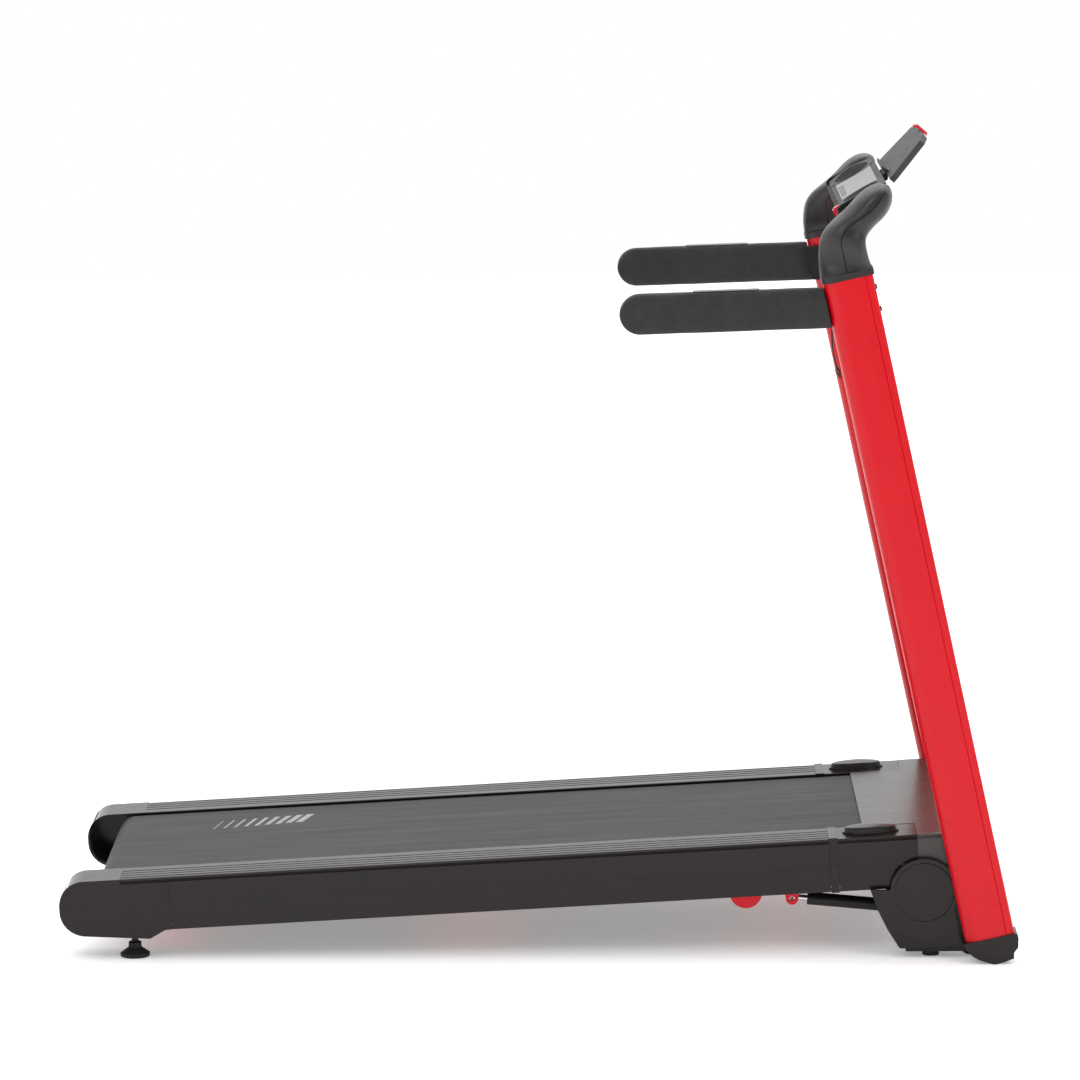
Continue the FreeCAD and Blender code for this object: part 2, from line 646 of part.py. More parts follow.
finish("motor_housing",
       fuse(cut(rod("y", "motor_x", "motor_z", "motor_radius", "24", "184"),
                rod("y", "motor_x", "motor_z", "8.05", "20", "190")),
            cut(block("motor_x-30", "motor_x+24", "50", "160", "6.6", "14"),
                rod("y", "motor_x", "motor_z", "motor_radius-2", "20", "190"))), DECK)
finish("motor_rotor",
       fuse(rod("y", "motor_x", "motor_z", "8", "22", "drive_out+3"),
            rod("y", "motor_x", "motor_z", "motor_radius-2", "188", "200"),
            rod("y", "motor_x", "motor_z", "motor_pulley", "drive_in", "drive_out")), DECK)


def drive_loop(grow, y0, y1):
    """The solid inside a belt around the motor pulley and the roller pulley."""
    big = number("pulley_radius") + grow
    small = number("motor_pulley") + grow
    centre_a = Vector(number("front_roller"), 0, number("roller_height"))
    centre_b = Vector(number("motor_x"), 0, number("motor_z"))
    run = centre_b.sub(centre_a)
    span = run.Length
    heading = math.atan2(run.z, run.x)
    offset = math.acos((big - small) / span)
    corners = []
    for turn_sign in (1, -1):
        angle = heading + turn_sign * offset
        way = Vector(math.cos(angle), 0, math.sin(angle))
        pair = [centre_a + way * big, centre_b + way * small]
        corners += pair if turn_sign == 1 else pair[::-1]
    face = Part.Face(Part.makePolygon(corners + [corners[0]]))
    slab = face.extrude(Vector(0, y1 - y0, 0))
    ends = [Part.makeCylinder(r, y1 - y0, c, Vector(0, 1, 0))
            for r, c in ((big, centre_a), (small, centre_b))]
    solid = slab.fuse(ends).removeSplitter()
    solid.translate(Vector(0, y0, 0))
    return solid


drive_y = (number("drive_in") + 1, number("drive_out") - 1)
drive_belt = doc.addObject("Part::Feature", "drive_belt")
drive_belt.Shape = drive_loop(1.8, *drive_y).cut(drive_loop(0.1, drive_y[0] - 1, drive_y[1] + 1))
finish("drive_belt", drive_belt, DECK)

controller_parts = [block("-30", "44", "-120", "-20", "6.6", "10"),
                    block("-24", "-4", "-112", "-30", "10", "40"),
                    rod("z", "14", "-46", "11", "10", "42"),
                    rod("z", "14", "-76", "11", "10", "42"),
                    block("4", "30", "-112", "-94", "10", "26")]
finish("controller_board", fuse(*controller_parts), DECK)

inlet = fuse(cut(block("hood_front-18", "hood_front", "-163.7", "-136.3", "18.3", "33.7"),
                 block("hood_front-14", "hood_front+1", "-160", "-140", "21", "31")),
             block("hood_front-16", "hood_front-4", "-150.6", "-149.4", "23", "28"),
             rod("x", "-155", "26", "1.2", "hood_front-16", "hood_front-4"),
             rod("x", "-145", "26", "1.2", "hood_front-16", "hood_front-4"))
switch_frame = cut(block("hood_front-14", "hood_front", "-123.7", "-108.3", "18.3", "33.7"),
                   block("hood_front-10", "hood_front+1", "-121.5", "-110.5", "20.5", "31.5"))
finish("power_panel", gather(inlet, switch_frame), DECK)
rocker = new_node("power_rocker", DECK)
prism(rocker, "side", [("hood_front-6", "21.6"), ("hood_front+1.6", "21.6"),
                       ("hood_front-0.4", "26"), ("hood_front-1.2", "30.4"),
                       ("hood_front-6", "30.4")], "-121", "-111")
disc(rocker, "side", "hood_front-4.5", "26", "1.2", "-121.4", "-110.6")

# ---------------------------------------------------------------------------
# Latch pedal, gas strut, levelling feet
# ---------------------------------------------------------------------------

pedal = new_node("latch_pedal", DECK)
disc(pedal, "side", "pedal_x", "0", "pedal_radius", "pedal_y-13", "pedal_y+10")
prism(pedal, "side", [("pedal_x-40", "0"), ("pedal_x+40", "0"),
                      ("pedal_x+40", "40"), ("pedal_x-40", "40")],
      "pedal_y-20", "pedal_y+20", cut=True)
disc(pedal, "side", "pedal_x", "0", "7.6", "pedal_y-13", "pedal_y+10")
disc(pedal, "side", "pedal_x", "0", "4.06", "pedal_y-20", "pedal_y+20", cut=True)

strut_cylinder = finish(
    "strut_cylinder",
    cut(fuse(rod("x", "0", "0", "strut_radius", "14", "186"),
             rod("x", "0", "0", "strut_radius-2.5", "9", "14"),
             rod("y", "0", "0", "10", "-7", "7")),
        rod("y", "0", "0", "4.06", "-8", "8"),
        rod("x", "0", "0", "rod_radius+0.06", "40", "190"),
        rod("x", "0", "0", "strut_radius-1.6", "42", "178")),
    FreeCAD.Placement(STRUT.Base + Vector(0, number("strut_y"), 0), STRUT.Rotation))
strut_rod = finish(
    "strut_rod",
    cut(fuse(rod("x", "0", "0", "rod_radius", "110", "strut_length-6"),
             rod("x", "0", "0", "strut_radius-1.7", "104", "112"),
             rod("y", "strut_length", "0", "8", "-7", "7")),
        rod("y", "strut_length", "0", "4.1", "-8", "8")),
    strut_cylinder.Placement)

levelling_foot = new_body("levelling_foot", FreeCAD.Placement(
    Vector(number("foot_x"), number("foot_y"), 0), FreeCAD.Rotation()))
turn(levelling_foot, "side",
     [("0", "0"), ("foot_radius-1", "0"), ("foot_radius", "1.2"), ("foot_radius", "5"),
      ("foot_radius-2", "6.6"), ("11", "13.4"), ("10", "14.6"), ("10", "21.6"), ("9", "22.6"),
      ("5", "22.6"), ("5", "62"), ("0", "62")])
twins("levelling_foot", levelling_foot)

# ---------------------------------------------------------------------------
# Base: beam, side plates, covers, pivot shafts, pads and transport wheels
# ---------------------------------------------------------------------------

finish("base_beam",
       cut(block("beam_rear", "beam_front", "-(upright_y-22.5)", "upright_y-22.5",
                 "beam_low", "beam_high"),
           block("beam_rear+3", "beam_front-3", "-upright_y", "upright_y",
                 "beam_low+3", "beam_high-3")), WORLD)

side_plate = new_body("side_plate", WORLD)
prism(side_plate, "side",
      [("540", "96"), ("pivot_x", "pivot_z+14"), ("632", "96"), ("beam_rear", "beam_high"),
       ("beam_rear", "flange_low"), ("564", "flange_low")], "plate_in", "plate_out")
disc(side_plate, "side", "pivot_x", "pivot_z", "34", "plate_in", "plate_out")
disc(side_plate, "side", "pivot_x", "pivot_z", "shaft_radius+0.01",
     "plate_in-5", "plate_out+5", cut=True)
prism(side_plate, "side",
      [("564", "flange_low"), ("564", "flange_high"), ("676", "flange_high"),
       ("676", "flange_low")], "250", "plate_in")
disc(side_plate, "side", "wheel_x", "wheel_z", "4.01", "plate_in-5", "plate_out+5", cut=True)
prism(side_plate, "plan",
      [("wheel_x-17", "258"), ("wheel_x+17", "258"), ("wheel_x+17", "plate_in-4"),
       ("wheel_x-17", "plate_in-4")], "flange_low-5", "flange_high+5", cut=True)

COVER_OUTLINE = [("509", "pivot_z+3.4"), ("521", "74"), ("536", "44"), ("554", "15.4"),
                 ("649", "18.4"), ("642", "52"), ("636", "80"), ("631", "pivot_z+3.4")]
cover = new_body("cover", WORLD)
prism(cover, "side", COVER_OUTLINE, "cover_in", "cover_out-2.2")
round_edges(cover, "5", along("y", [("554", "15.4")]))
prism(cover, "side",
      [("513", "pivot_z-0.4"), ("524", "74.6"), ("538.6", "45"), ("556", "18.4"),
       ("646", "21.2"), ("639", "52"), ("633", "80"), ("629", "pivot_z-0.4")],
      "cover_in-1", "cover_out-4", cut=True)
disc(cover, "side", "pivot_x", "pivot_z", "step_radius", "cover_out-4", "cover_out")
prism(cover, "side", [("480", "pivot_z+3.4"), ("700", "pivot_z+3.4"), ("700", "200"),
                      ("480", "200")], "cover_in-5", "cover_out+5", cut=True)
prism(cover, "side", [("631", "pivot_z+40"), ("636", "80"), ("642", "52"), ("649", "18.4"),
                      ("700", "0"), ("700", "pivot_z+40")], "cover_in-5", "cover_out+5", cut=True)
disc(cover, "side", "pivot_x", "pivot_z", "ring_radius", "cover_in", "cover_out+0.6")
prism(cover, "side", [("640", "98"), ("660", "98"), ("660", "132"), ("640", "132")],
      "cover_out-0.3", "cover_out+5", cut=True)
disc(cover, "side", "pivot_x", "pivot_z", "disc_radius+0.4", "cover_out-1", "cover_out+5", cut=True)
disc(cover, "side", "pivot_x", "pivot_z", "17", "cover_in-5", "cover_out-3", cut=True)

pivot_cap = new_body("pivot_cap", WORLD)
disc(pivot_cap, "side", "pivot_x", "pivot_z", "disc_radius", "cover_out-1", "cover_out+1")
round_edges(pivot_cap, "0.8", in_plane("y", "cover_out+1"))
pair("base_covers", cover, pivot_cap)

shaft = fuse(rod("y", "pivot_x", "pivot_z", "shaft_radius", "bracket_in", "plate_out"),
             rod("y", "pivot_x", "pivot_z", "16", "plate_out", "cover_out-3.1"))
pair("base_pads", rod("z", "pad_x", "pad_y", "pad_radius", "0", "flange_low"))

wheel = new_body("transport_wheel", FreeCAD.Placement(
    Vector(number("wheel_x"), 0, number("wheel_z")), FreeCAD.Rotation()))
turn(wheel, "plan",
     [("4.06", "261"), ("8", "261"), ("8.5", "263"), ("12", "263"), ("12.5", "261.5"),
      ("wheel_radius-1", "261.5"), ("wheel_radius", "263"), ("wheel_radius", "283"),
      ("wheel_radius-1", "284.5"), ("12.5", "284.5"), ("12", "283"), ("8.5", "283"),
      ("8", "285"), ("4.06", "285")])
twins("transport_wheel", wheel)
wheel_axle = fuse(rod("y", "wheel_x", "wheel_z", "4", "259", "plate_out"),
                  rod("y", "wheel_x", "wheel_z", "7", "257", "260.5"))


def strut_ear(y0, y1):
    plate = fuse(block("strut_x-11", "strut_x+11", y0, y1, "flange_high", "strut_z"),
                 rod("y", "strut_x", "strut_z", "11", y0, y1))
    return plate


strut_bracket = fuse(block("576", "628", "-250", "strut_y+16", "flange_low", "flange_high"),
                     strut_ear("strut_y-12", "strut_y-8"), strut_ear("strut_y+8", "strut_y+12"),
                     rod("y", "strut_x", "strut_z", "4", "strut_y-15", "strut_y+15"))
welded_side = fuse(side_plate, shaft, wheel_axle)
keep("base_side_plates", gather(welded_side, fuse(mirrored(welded_side), strut_bracket)))

# ---------------------------------------------------------------------------
# Uprights, boots, collars, plugs
# ---------------------------------------------------------------------------

def upright_section(inset):
    half = "upright_half-%g" % inset
    thick = "upright_thick-%g" % inset
    if inset:
        side = [("-34.5", "6"), ("-30", "13.5"), ("-22", "18"), ("12", thick),
                (half, "(%s)-2" % thick)]
    else:
        side = [("-(%s)" % half, thick), ("12", thick), ("25", "(%s)-0.9" % thick),
                ("25.8", "(%s)-1.8" % thick), ("26.6", "(%s)-1.0" % thick),
                (half, "(%s)-2" % thick)]
    other = [(a, "-(%s)" % b) for a, b in reversed(side)]
    return [(a, "upright_y+(%s)" % b) for a, b in side + other]


upright = new_body("upright", LEAN)
prism(upright, "plan", upright_section(0), "upright_low", "upright_high")
round_edges(upright, "20.4", along("z", [("-upright_half", "upright_y+upright_thick"),
                                         ("-upright_half", "upright_y-upright_thick")]))
round_edges(upright, "5", along("z", [("upright_half", "upright_y+upright_thick-2"),
                                      ("upright_half", "upright_y-upright_thick+2")]))
prism(upright, "plan", upright_section(2.5), "upright_low-5", "upright_high+5", cut=True)
twins("upright", upright)

collar = new_body("collar", LEAN)
prism(collar, "plan",
      [("-40.6", "upright_y-22.6"), ("40.6", "upright_y-21"), ("40.6", "upright_y+21"),
       ("-40.6", "upright_y+22.6")], "upright_high", "collar_high")
round_edges(collar, "21.5", along("z", [("-40.6", "upright_y-22.6"), ("-40.6", "upright_y+22.6")]))
round_edges(collar, "6", along("z", [("40.6", "upright_y-21"), ("40.6", "upright_y+21")]))
round_edges(collar, "2", in_plane("z", "collar_high"))
prism(collar, "plan", [("-28", "upright_y-11"), ("28", "upright_y-11"), ("28", "upright_y+11"),
                       ("-28", "upright_y+11")], "upright_high-22", "upright_high")

BOOT = [("-40.6", "upright_low"), ("-40.9", "38"), ("-37.2", "27.5"), ("-31.3", "19"),
        ("-22.2", "10.9"), ("-3.9", "0.9"), ("1", "-0.2"), ("12.4", "0.4"), ("29.1", "2.9"),
        ("31", "11.7"), ("38.7", "18.2"), ("42.3", "32.8"), ("40.6", "upright_low")]
boot = new_body("boot", LEAN)
prism(boot, "side", BOOT, "upright_y-22.4", "upright_y+23")
round_edges(boot, "5", along("y", [("-37.2", "27.5"), ("-31.3", "19"), ("-22.2", "10.9")]))
prism(boot, "side", [("-40.5", "34.4"), ("-41.2", "upright_low"), ("41.6", "upright_low"),
                     ("42.2", "34.4")], "upright_y-22.4", "upright_y+23")
prism(boot, "plan", [("-26", "upright_y-14.5"), ("32", "upright_y-14.5"),
                     ("32", "upright_y+14.5"), ("-26", "upright_y+14.5")],
      "upright_low-3", "upright_low+26")
pair("upright_boots", boot)

plugs = [place(rod("x", "upright_y", height, "4", "upright_half", "upright_half+2.6"), LEAN)
         for height in ("1052", "1018")]
pair("upright_collars", collar, *plugs)

# ---------------------------------------------------------------------------
# Side handles
# ---------------------------------------------------------------------------

handle = new_body("handle", GRIP)
prism(handle, "side", [("-handle_half", "-handle_half"), ("-handle_half", "handle_half"),
                       ("handle_end", "handle_half"),
                       ("handle_end+handle_slant", "-handle_half")], "handle_in", "handle_out")
round_edges(handle, "handle_half-0.1", along("y", [("-handle_half", "-handle_half"),
                                                   ("-handle_half", "handle_half")]))
round_edges(handle, "8", lambda edge: (
    edge.BoundBox.YLength < 0.01 and edge.BoundBox.XMin < number("handle_end-1")))
prism(handle, "section",
      [("upright_y-6.1", "-core_half-0.1"), ("upright_y+6.1", "-core_half-0.1"),
       ("upright_y+6.1", "core_half+0.1"), ("upright_y-6.1", "core_half+0.1")],
      "0", "handle_end+15", cut=True)
prism(handle, "side", [("handle_end-2.9", "22.4"), ("handle_end+20", "22.4"),
                       ("handle_end+20", "-22.4"), ("handle_end+5.2", "-22.4")],
      "upright_y-13.4", "upright_y+13.4", cut=True)
twins("side_handle", handle)

core = place(block("0", "handle_end+3.9", "upright_y-6", "upright_y+6", "-core_half", "core_half"),
             GRIP)

mount = new_body("mount", GRIP)
prism(mount, "side", [("handle_end-2.6", "22"), ("handle_end+1.6", "22"),
                      ("handle_end+9.7", "-22"), ("handle_end+5.5", "-22")],
      "upright_y-13", "upright_y+13")
prism(mount, "section",
      [("upright_y-6.1", "-core_half-0.1"), ("upright_y+6.1", "-core_half-0.1"),
       ("upright_y+6.1", "core_half+0.1"), ("upright_y-6.1", "core_half+0.1")],
      "handle_end-5", "handle_end+15", cut=True)

bracket = new_body("bracket", GRIP)
prism(bracket, "side", [("handle_end-4", "26"), ("handle_end+36", "26"),
                        ("handle_end+46", "-28"), ("handle_end+6", "-28")],
      "upright_y-29", "upright_y-upright_thick-0.1")
round_edges(bracket, "5", along("y", [("handle_end-4", "26"), ("handle_end+36", "26"),
                                      ("handle_end+46", "-28"), ("handle_end+6", "-28")]))
pair("handle_mounts", core, mount, bracket)

pulse = new_body("pulse", GRIP)
prism(pulse, "plan", [("80", "upright_y-8.4"), ("180", "upright_y-8.4"), ("180", "upright_y+8.4"),
                      ("80", "upright_y+8.4")], "handle_half", "handle_half+1.2")
round_edges(pulse, "7.5", along("z", [("80", "upright_y-8.4"), ("180", "upright_y-8.4"),
                                      ("180", "upright_y+8.4"), ("80", "upright_y+8.4")]))
round_edges(pulse, "0.9", in_plane("z", "handle_half+1.2"))
pair("pulse_plates", pulse)

# ---------------------------------------------------------------------------
# Console arms: a moulding from each collar to the console, in two halves along a seam
# ---------------------------------------------------------------------------

SEAM = [("470.6", "1059.8"), ("459.5", "1105.2"), ("461.2", "1120.6"), ("470.6", "1130.9"),
        ("496.1", "1154.8"), ("526.9", "1183.8")]
REAR_LINE = [("516.6", "1190.4"), ("504.5", "1187.4"), ("489", "1177.6"), ("474", "1165.8"),
             ("458.5", "1153.8"), ("443", "1141.8"), ("433.8", "1129.8"), ("428.6", "1113"),
             ("426", "1099"), ("427", "1083"), ("430.2", "1051.2")]
FRONT_LINE = [("507.2", "1067.8"), ("503.6", "1077"), ("498.6", "1095.4"), ("497.6", "1109.2"),
              ("503.4", "1124.6"), ("512", "1135"), ("524", "1147"), ("534", "1162"),
              ("534", "1177"), ("527.6", "1184.4")]
# the arm seen from the front: it leans in from the upright to the console's end
ARM_OUTER = [("341", "1040"), ("339.6", "1052"), ("335", "1064"), ("322", "1077"),
             ("309", "1091"), ("302", "1107"), ("300.4", "1128"), ("300.4", "1152"),
             ("297", "1174"), ("288", "1200"), ("400", "1200"), ("400", "1040")]
ARM_INNER = [("296.6", "1040"), ("296.6", "1052"), ("290", "1063"), ("276", "1076"),
             ("263", "1090"), ("254", "1106"), ("240", "1119"), ("console_half+0.3", "1124"),
             ("console_half+0.3", "1200"), ("150", "1200"), ("150", "1040")]


def arm_shell(name, outline):
    """One moulded half of an arm, cut to its shape as seen from the front."""
    shell = new_body(name, WORLD)
    prism(shell, "side", outline, "console_half", "342")
    prism(shell, "section", ARM_OUTER, "400", "560", cut=True)
    prism(shell, "section", ARM_INNER, "400", "560", cut=True)
    # the foot stands on the collar's sloping top
    prism(shell, "side", [("400", "1044.8"), ("540", "1075.1"), ("540", "1000"), ("400", "1000")],
          "250", "350", cut=True)
    return shell


def moved(points, dx, dz):
    return [("%s%+g" % (a, dx), "%s%+g" % (b, dz)) for a, b in points]


pair("console_arms_rear", arm_shell("rear_arm", moved(SEAM, -0.2, 0.2) + REAR_LINE))
pair("console_arms_front", arm_shell("front_arm", moved(SEAM, 0.2, -0.2)[::-1] + FRONT_LINE))

# ---------------------------------------------------------------------------
# Console: lower shell, upper shell, face panel, display lens, grilles, buttons
# ---------------------------------------------------------------------------

lower_shell = new_body("lower_shell", FACE)
prism(lower_shell, "side", [("-6", "-9.3"), ("70", "-9.3"), ("73.4", "-14"), ("66", "-25.4"),
                            ("40", "-33"), ("6", "-24"), ("-6", "-14")],
      "-console_half", "console_half")
round_edges(lower_shell, "8", along("y", [("66", "-25.4"), ("40", "-33"), ("6", "-24")]))
prism(lower_shell, "side", [("0", "-9"), ("66", "-9"), ("69.4", "-14.6"), ("62.6", "-22.6"),
                            ("40", "-29"), ("10", "-21"), ("0", "-14")],
      "-console_half+3", "console_half-3", cut=True)

upper_shell = new_node("console_upper_shell", FACE)
prism(upper_shell, "side", [("-8", "-9"), ("-9", "-2"), ("-5", "7"), ("2", "9.6"), ("62", "9.6"),
                            ("73", "6"), ("75", "2"), ("73.4", "-3"), ("72", "-9")],
      "-console_half", "console_half")
round_edges(upper_shell, "3", along("y", [("-5", "7"), ("2", "9.6"), ("62", "9.6")]))
prism(upper_shell, "side", [("-20", "2.2"), ("-20", "20"), ("100", "20"), ("100", "2.2"),
                            ("78", "2.2"), ("78", "1.4"), ("-2", "1.4"), ("-2", "2.2")],
      "-face_half-0.4", "face_half+0.4", cut=True)
prism(upper_shell, "side", [("1", "-10"), ("1", "20"), ("69", "20"), ("69", "-10")],
      "-face_half+6", "face_half-6", cut=True)
prism(upper_shell, "side", [("60", "-10"), ("60", "-0.9"), ("85", "-0.9"), ("85", "-10")],
      "-44.6", "44.6", cut=True)
prism(upper_shell, "side", [("-14", "-1"), ("-14", "5"), ("-1.6", "5"), ("-1.6", "-1")],
      "cord_y-8", "cord_y+8", cut=True)


def oval_outline(side, grow):
    """A speaker grille's oval on one side of the face, grown all round."""
    return [("grille_x+(grille_long+%g)*%.4f" % (grow, math.cos(math.radians(angle))),
             "%s*(grille_y+(grille_wide+%g)*%.4f)" % (side, grow, math.sin(math.radians(angle))))
            for angle in range(0, 360, 15)]


def lens_outline(grow):
    """An hour-glass outline whose waists follow the grilles' ovals."""
    def edge(sign):
        return [("grille_x+(grille_long+2)*%.4f" % math.cos(math.radians(angle)),
                 "%s*(grille_y-(grille_wide+3)*%.4f+%g)" % (sign, math.sin(math.radians(angle)),
                                                            grow))
                for angle in range(165, 0, -15)]
    return edge("-1") + edge("1")[::-1]


face_panel = new_node("console_face_panel", FACE)
prism(face_panel, "plan", [("-1.6", "-face_half"), ("face_length+1.6", "-face_half"),
                           ("face_length+1.6", "face_half"), ("-1.6", "face_half")], "1.5", "4.0")
prism(face_panel, "plan", lens_outline(0.15), "2.6", "6", cut=True)
BUTTON_ROWS = ("-60", "-30", "0", "30", "60")
for row_y in BUTTON_ROWS:
    prism(face_panel, "plan",
          [("8.6", "(%s)-button_half-0.4" % row_y), ("16.4", "(%s)-button_half-0.4" % row_y),
           ("16.4", "(%s)+button_half+0.4" % row_y), ("8.6", "(%s)+button_half+0.4" % row_y)],
          "0", "6", cut=True)
for side_sign in ("-1", "1"):
    prism(face_panel, "plan", oval_outline(side_sign, 0.3), "0", "6", cut=True)

lens = new_node("display_lens", FACE)
prism(lens, "plan", lens_outline(0), "2.7", "4.4")
for row_y in BUTTON_ROWS:
    prism(lens, "plan",
          [("8.6", "(%s)-button_half-0.4" % row_y), ("16.4", "(%s)-button_half-0.4" % row_y),
           ("16.4", "(%s)+button_half+0.4" % row_y), ("8.6", "(%s)+button_half+0.4" % row_y)],
          "0", "6", cut=True)

BUTTON_NAMES = ("button_stop", "button_speed_down", "button_mode", "button_speed_up",
                "button_start")
for name, row_y in zip(BUTTON_NAMES, BUTTON_ROWS):
    button = new_node(name, FACE)
    prism(button, "plan", [("9", "(%s)-button_half" % row_y), ("16", "(%s)-button_half" % row_y),
                           ("16", "(%s)+button_half" % row_y), ("9", "(%s)+button_half" % row_y)],
          "0", "5.0")
    round_edges(button, "2.8", along("z", [("9", "(%s)-button_half" % row_y),
                                           ("16", "(%s)-button_half" % row_y),
                                           ("16", "(%s)+button_half" % row_y),
                                           ("9", "(%s)+button_half" % row_y)]))

grille = new_body("grille", FACE)
prism(grille, "plan", oval_outline("1", 0), "0.4", "3.6")
for across in range(-32, 33, 8):
    reach = "(grille_long-3)*%.4f" % math.sqrt(1 - (across / 40) ** 2)
    low, high = "grille_x-" + reach, "grille_x+" + reach
    prism(grille, "plan", [(low, "grille_y%+g" % (across - 2)), (high, "grille_y%+g" % (across - 2)),
                           (high, "grille_y%+g" % (across + 2)), (low, "grille_y%+g" % (across + 2))],
          "0", "5", cut=True)
pair("speaker_grilles", grille)

finish("console_board",
       fuse(block("8", "64", "-86", "86", "-7.6", "-6"),
            block("24", "56", "-60", "60", "-6", "-0.6"),
            rod("z", "36", "152", "20", "-8", "-1"), rod("z", "36", "-152", "20", "-8", "-1")),
       FACE)

# ---------------------------------------------------------------------------
# Tablet holder, hinge bracket and clamp
# ---------------------------------------------------------------------------

holder = new_node("tablet_holder", REST)
prism(holder, "plan", [("7", "-rest_half"), ("16", "-rest_half"), ("rest_length-8", "-rest_top_half-6"),
                       ("rest_length", "-rest_top_half+22"), ("rest_length", "rest_top_half-22"),
                       ("rest_length-8", "rest_top_half+6"), ("16", "rest_half"),
                       ("7", "rest_half")], "-rest_thick", "rest_thick")
round_edges(holder, "12", along("z", [("16", "-rest_half"), ("16", "rest_half")]))
round_edges(holder, "2", in_plane("z", "rest_thick"))
prism(holder, "side", [("7", "rest_thick-1"), ("7", "rest_thick+10"), ("11", "rest_thick+13"),
                       ("13", "rest_thick+1"), ("17", "rest_thick-1")], "-70", "70")
prism(holder, "side", [("8", "-rest_thick+1"), ("8", "rest_thick-1"), ("-1.5", "4.6"),
                       ("-4.6", "1.5"), ("-4.6", "-1.5"), ("-1.5", "-4.6")], "-30", "30")
disc(holder, "side", "0", "0", "2.06", "-40", "40", cut=True)
prism(holder, "plan", [("rest_length-50", "-9.2"), ("rest_length+5", "-9.2"),
                       ("rest_length+5", "9.2"), ("rest_length-50", "9.2")],
      "-2.2", "2.2", cut=True)

clamp = new_node("tablet_clamp", REST)
prism(clamp, "side",
      [("rest_length-8", "-2"), ("rest_length-8", "2"), ("rest_length+0.3", "2"),
       ("rest_length+0.3", "rest_thick+6"), ("rest_length-4", "rest_thick+9"),
       ("rest_length-1.4", "rest_thick+12"), ("rest_length+4.5", "rest_thick+7"),
       ("rest_length+4.5", "-rest_thick-3"), ("rest_length+0.3", "-rest_thick-5"),
       ("rest_length+0.3", "-2")], "-9", "9")
prism(clamp, "side",
      [("rest_length-48", "-1.8"), ("rest_length-48", "1.8"), ("rest_length-7", "1.8"),
       ("rest_length-7", "-1.8")], "-5", "5")

hinge_ears = []
for y0, y1 in (("-44", "-31"), ("31", "44")):
    hinge_ears.append(fuse(rod("y", "0", "0", "5", y0, y1), block("-10", "0", y0, y1, "-3", "5")))
hinge = place(fuse(*hinge_ears, rod("y", "0", "0", "2", "-31.5", "31.5")), REST)
keep("console_lower_shell", fuse(lower_shell, hinge))

# ---------------------------------------------------------------------------
# Safety key, lanyard and clip
# ---------------------------------------------------------------------------

key = new_node("safety_key", FACE)
prism(key, "side", [("-1.9", "-0.6"), ("-1.9", "4.6"), ("-10", "4.6"), ("-14", "2"),
                    ("-14", "-7"), ("-9.3", "-8"), ("-9.3", "-0.6")], "cord_y-7.6", "cord_y+7.6")

key_corner = FACE.multVec(Vector(-11.6, number("cord_y"), -7.7))
CORD_ROUTE = [
    key_corner,
    Vector(key_corner.x - 0.6, key_corner.y, 1098.0),
    Vector(455.2, key_corner.y + 0.8, 1052.0),
    Vector(454.6, key_corner.y + 0.4, 1004.0),
    Vector(455.0, key_corner.y - 0.8, 956.0),
    Vector(456.2, key_corner.y - 0.5, 914.0),
    Vector(463.0, key_corner.y, 893.0),
]


def cord_path(route):
    """Straight runs joined by tangent arcs as large as the runs allow."""
    edges = []
    radii = []
    start = route[0]
    for before, corner, after in zip(route, route[1:], route[2:]):
        way_in = (corner - before).normalize()
        way_out = (after - corner).normalize()
        turn_angle = way_in.getAngle(way_out)
        reach = 0.45 * min((corner - before).Length, (after - corner).Length)
        radii.append(reach / math.tan(turn_angle / 2))
        arc_start = corner - way_in * reach
        arc_end = corner + way_out * reach
        middle_way = (way_out - way_in).normalize()
        depth = radii[-1] * (1 / math.cos(turn_angle / 2) - 1)
        edges.append(Part.LineSegment(start, arc_start).toShape())
        edges.append(Part.Arc(arc_start, corner + middle_way * depth, arc_end).toShape())
        start = arc_end
    edges.append(Part.LineSegment(start, route[-1]).toShape())
    return Part.Wire(edges), radii


cord_wire, cord_radii = cord_path(CORD_ROUTE)
cord_profile = Part.Wire([Part.Circle(CORD_ROUTE[0], CORD_ROUTE[1] - CORD_ROUTE[0],
                                      number("cord_radius")).toShape()])
cord_tube = cord_wire.makePipeShell([cord_profile], True, False)
lanyard = doc.addObject("Part::Feature", "lanyard_cord")
lanyard.Shape = cord_tube
keep("lanyard_cord", lanyard)
print("lanyard length %.1f, arc radii %s" % (cord_wire.Length,
                                             " ".join("%.0f" % r for r in cord_radii)))
print("lanyard volume ratio %.4f" % (cord_tube.Volume / (
    math.pi * number("cord_radius") ** 2 * cord_wire.Length)))

cord_end = CORD_ROUTE[-1]
clip_way = (CORD_ROUTE[-1] - CORD_ROUTE[-2]).normalize()
CLIP = tilted("%.4f" % cord_end.x, "%.4f" % cord_end.z,
              "%.4f" % -math.degrees(math.acos(clip_way.x)), "%.4f" % cord_end.y)
clip_body = new_body("clip_body", CLIP)
prism(clip_body, "side", [("0", "-2"), ("0", "2"), ("5", "3.4"), ("9", "3"), ("18", "1.2"),
                          ("18", "0.3"), ("7", "0.3"), ("5", "-2")], "-3", "3")
clip_jaw = new_body("clip_jaw", CLIP)
prism(clip_jaw, "side", [("8.4", "-1.6"), ("9", "0"), ("18", "0"), ("18", "-1"), ("10", "-3.4"),
                         ("4", "-5"), ("3", "-4.2")], "-3", "3")
keep("lanyard_clip", gather(clip_body, clip_jaw))

# ---------------------------------------------------------------------------
# Check everything, then write the parts
# ---------------------------------------------------------------------------

doc.recompute()
for item in doc.Objects:
    if "Invalid" in item.State or "Error" in item.State:
        raise RuntimeError("%s is %s" % (item.Label, item.State))

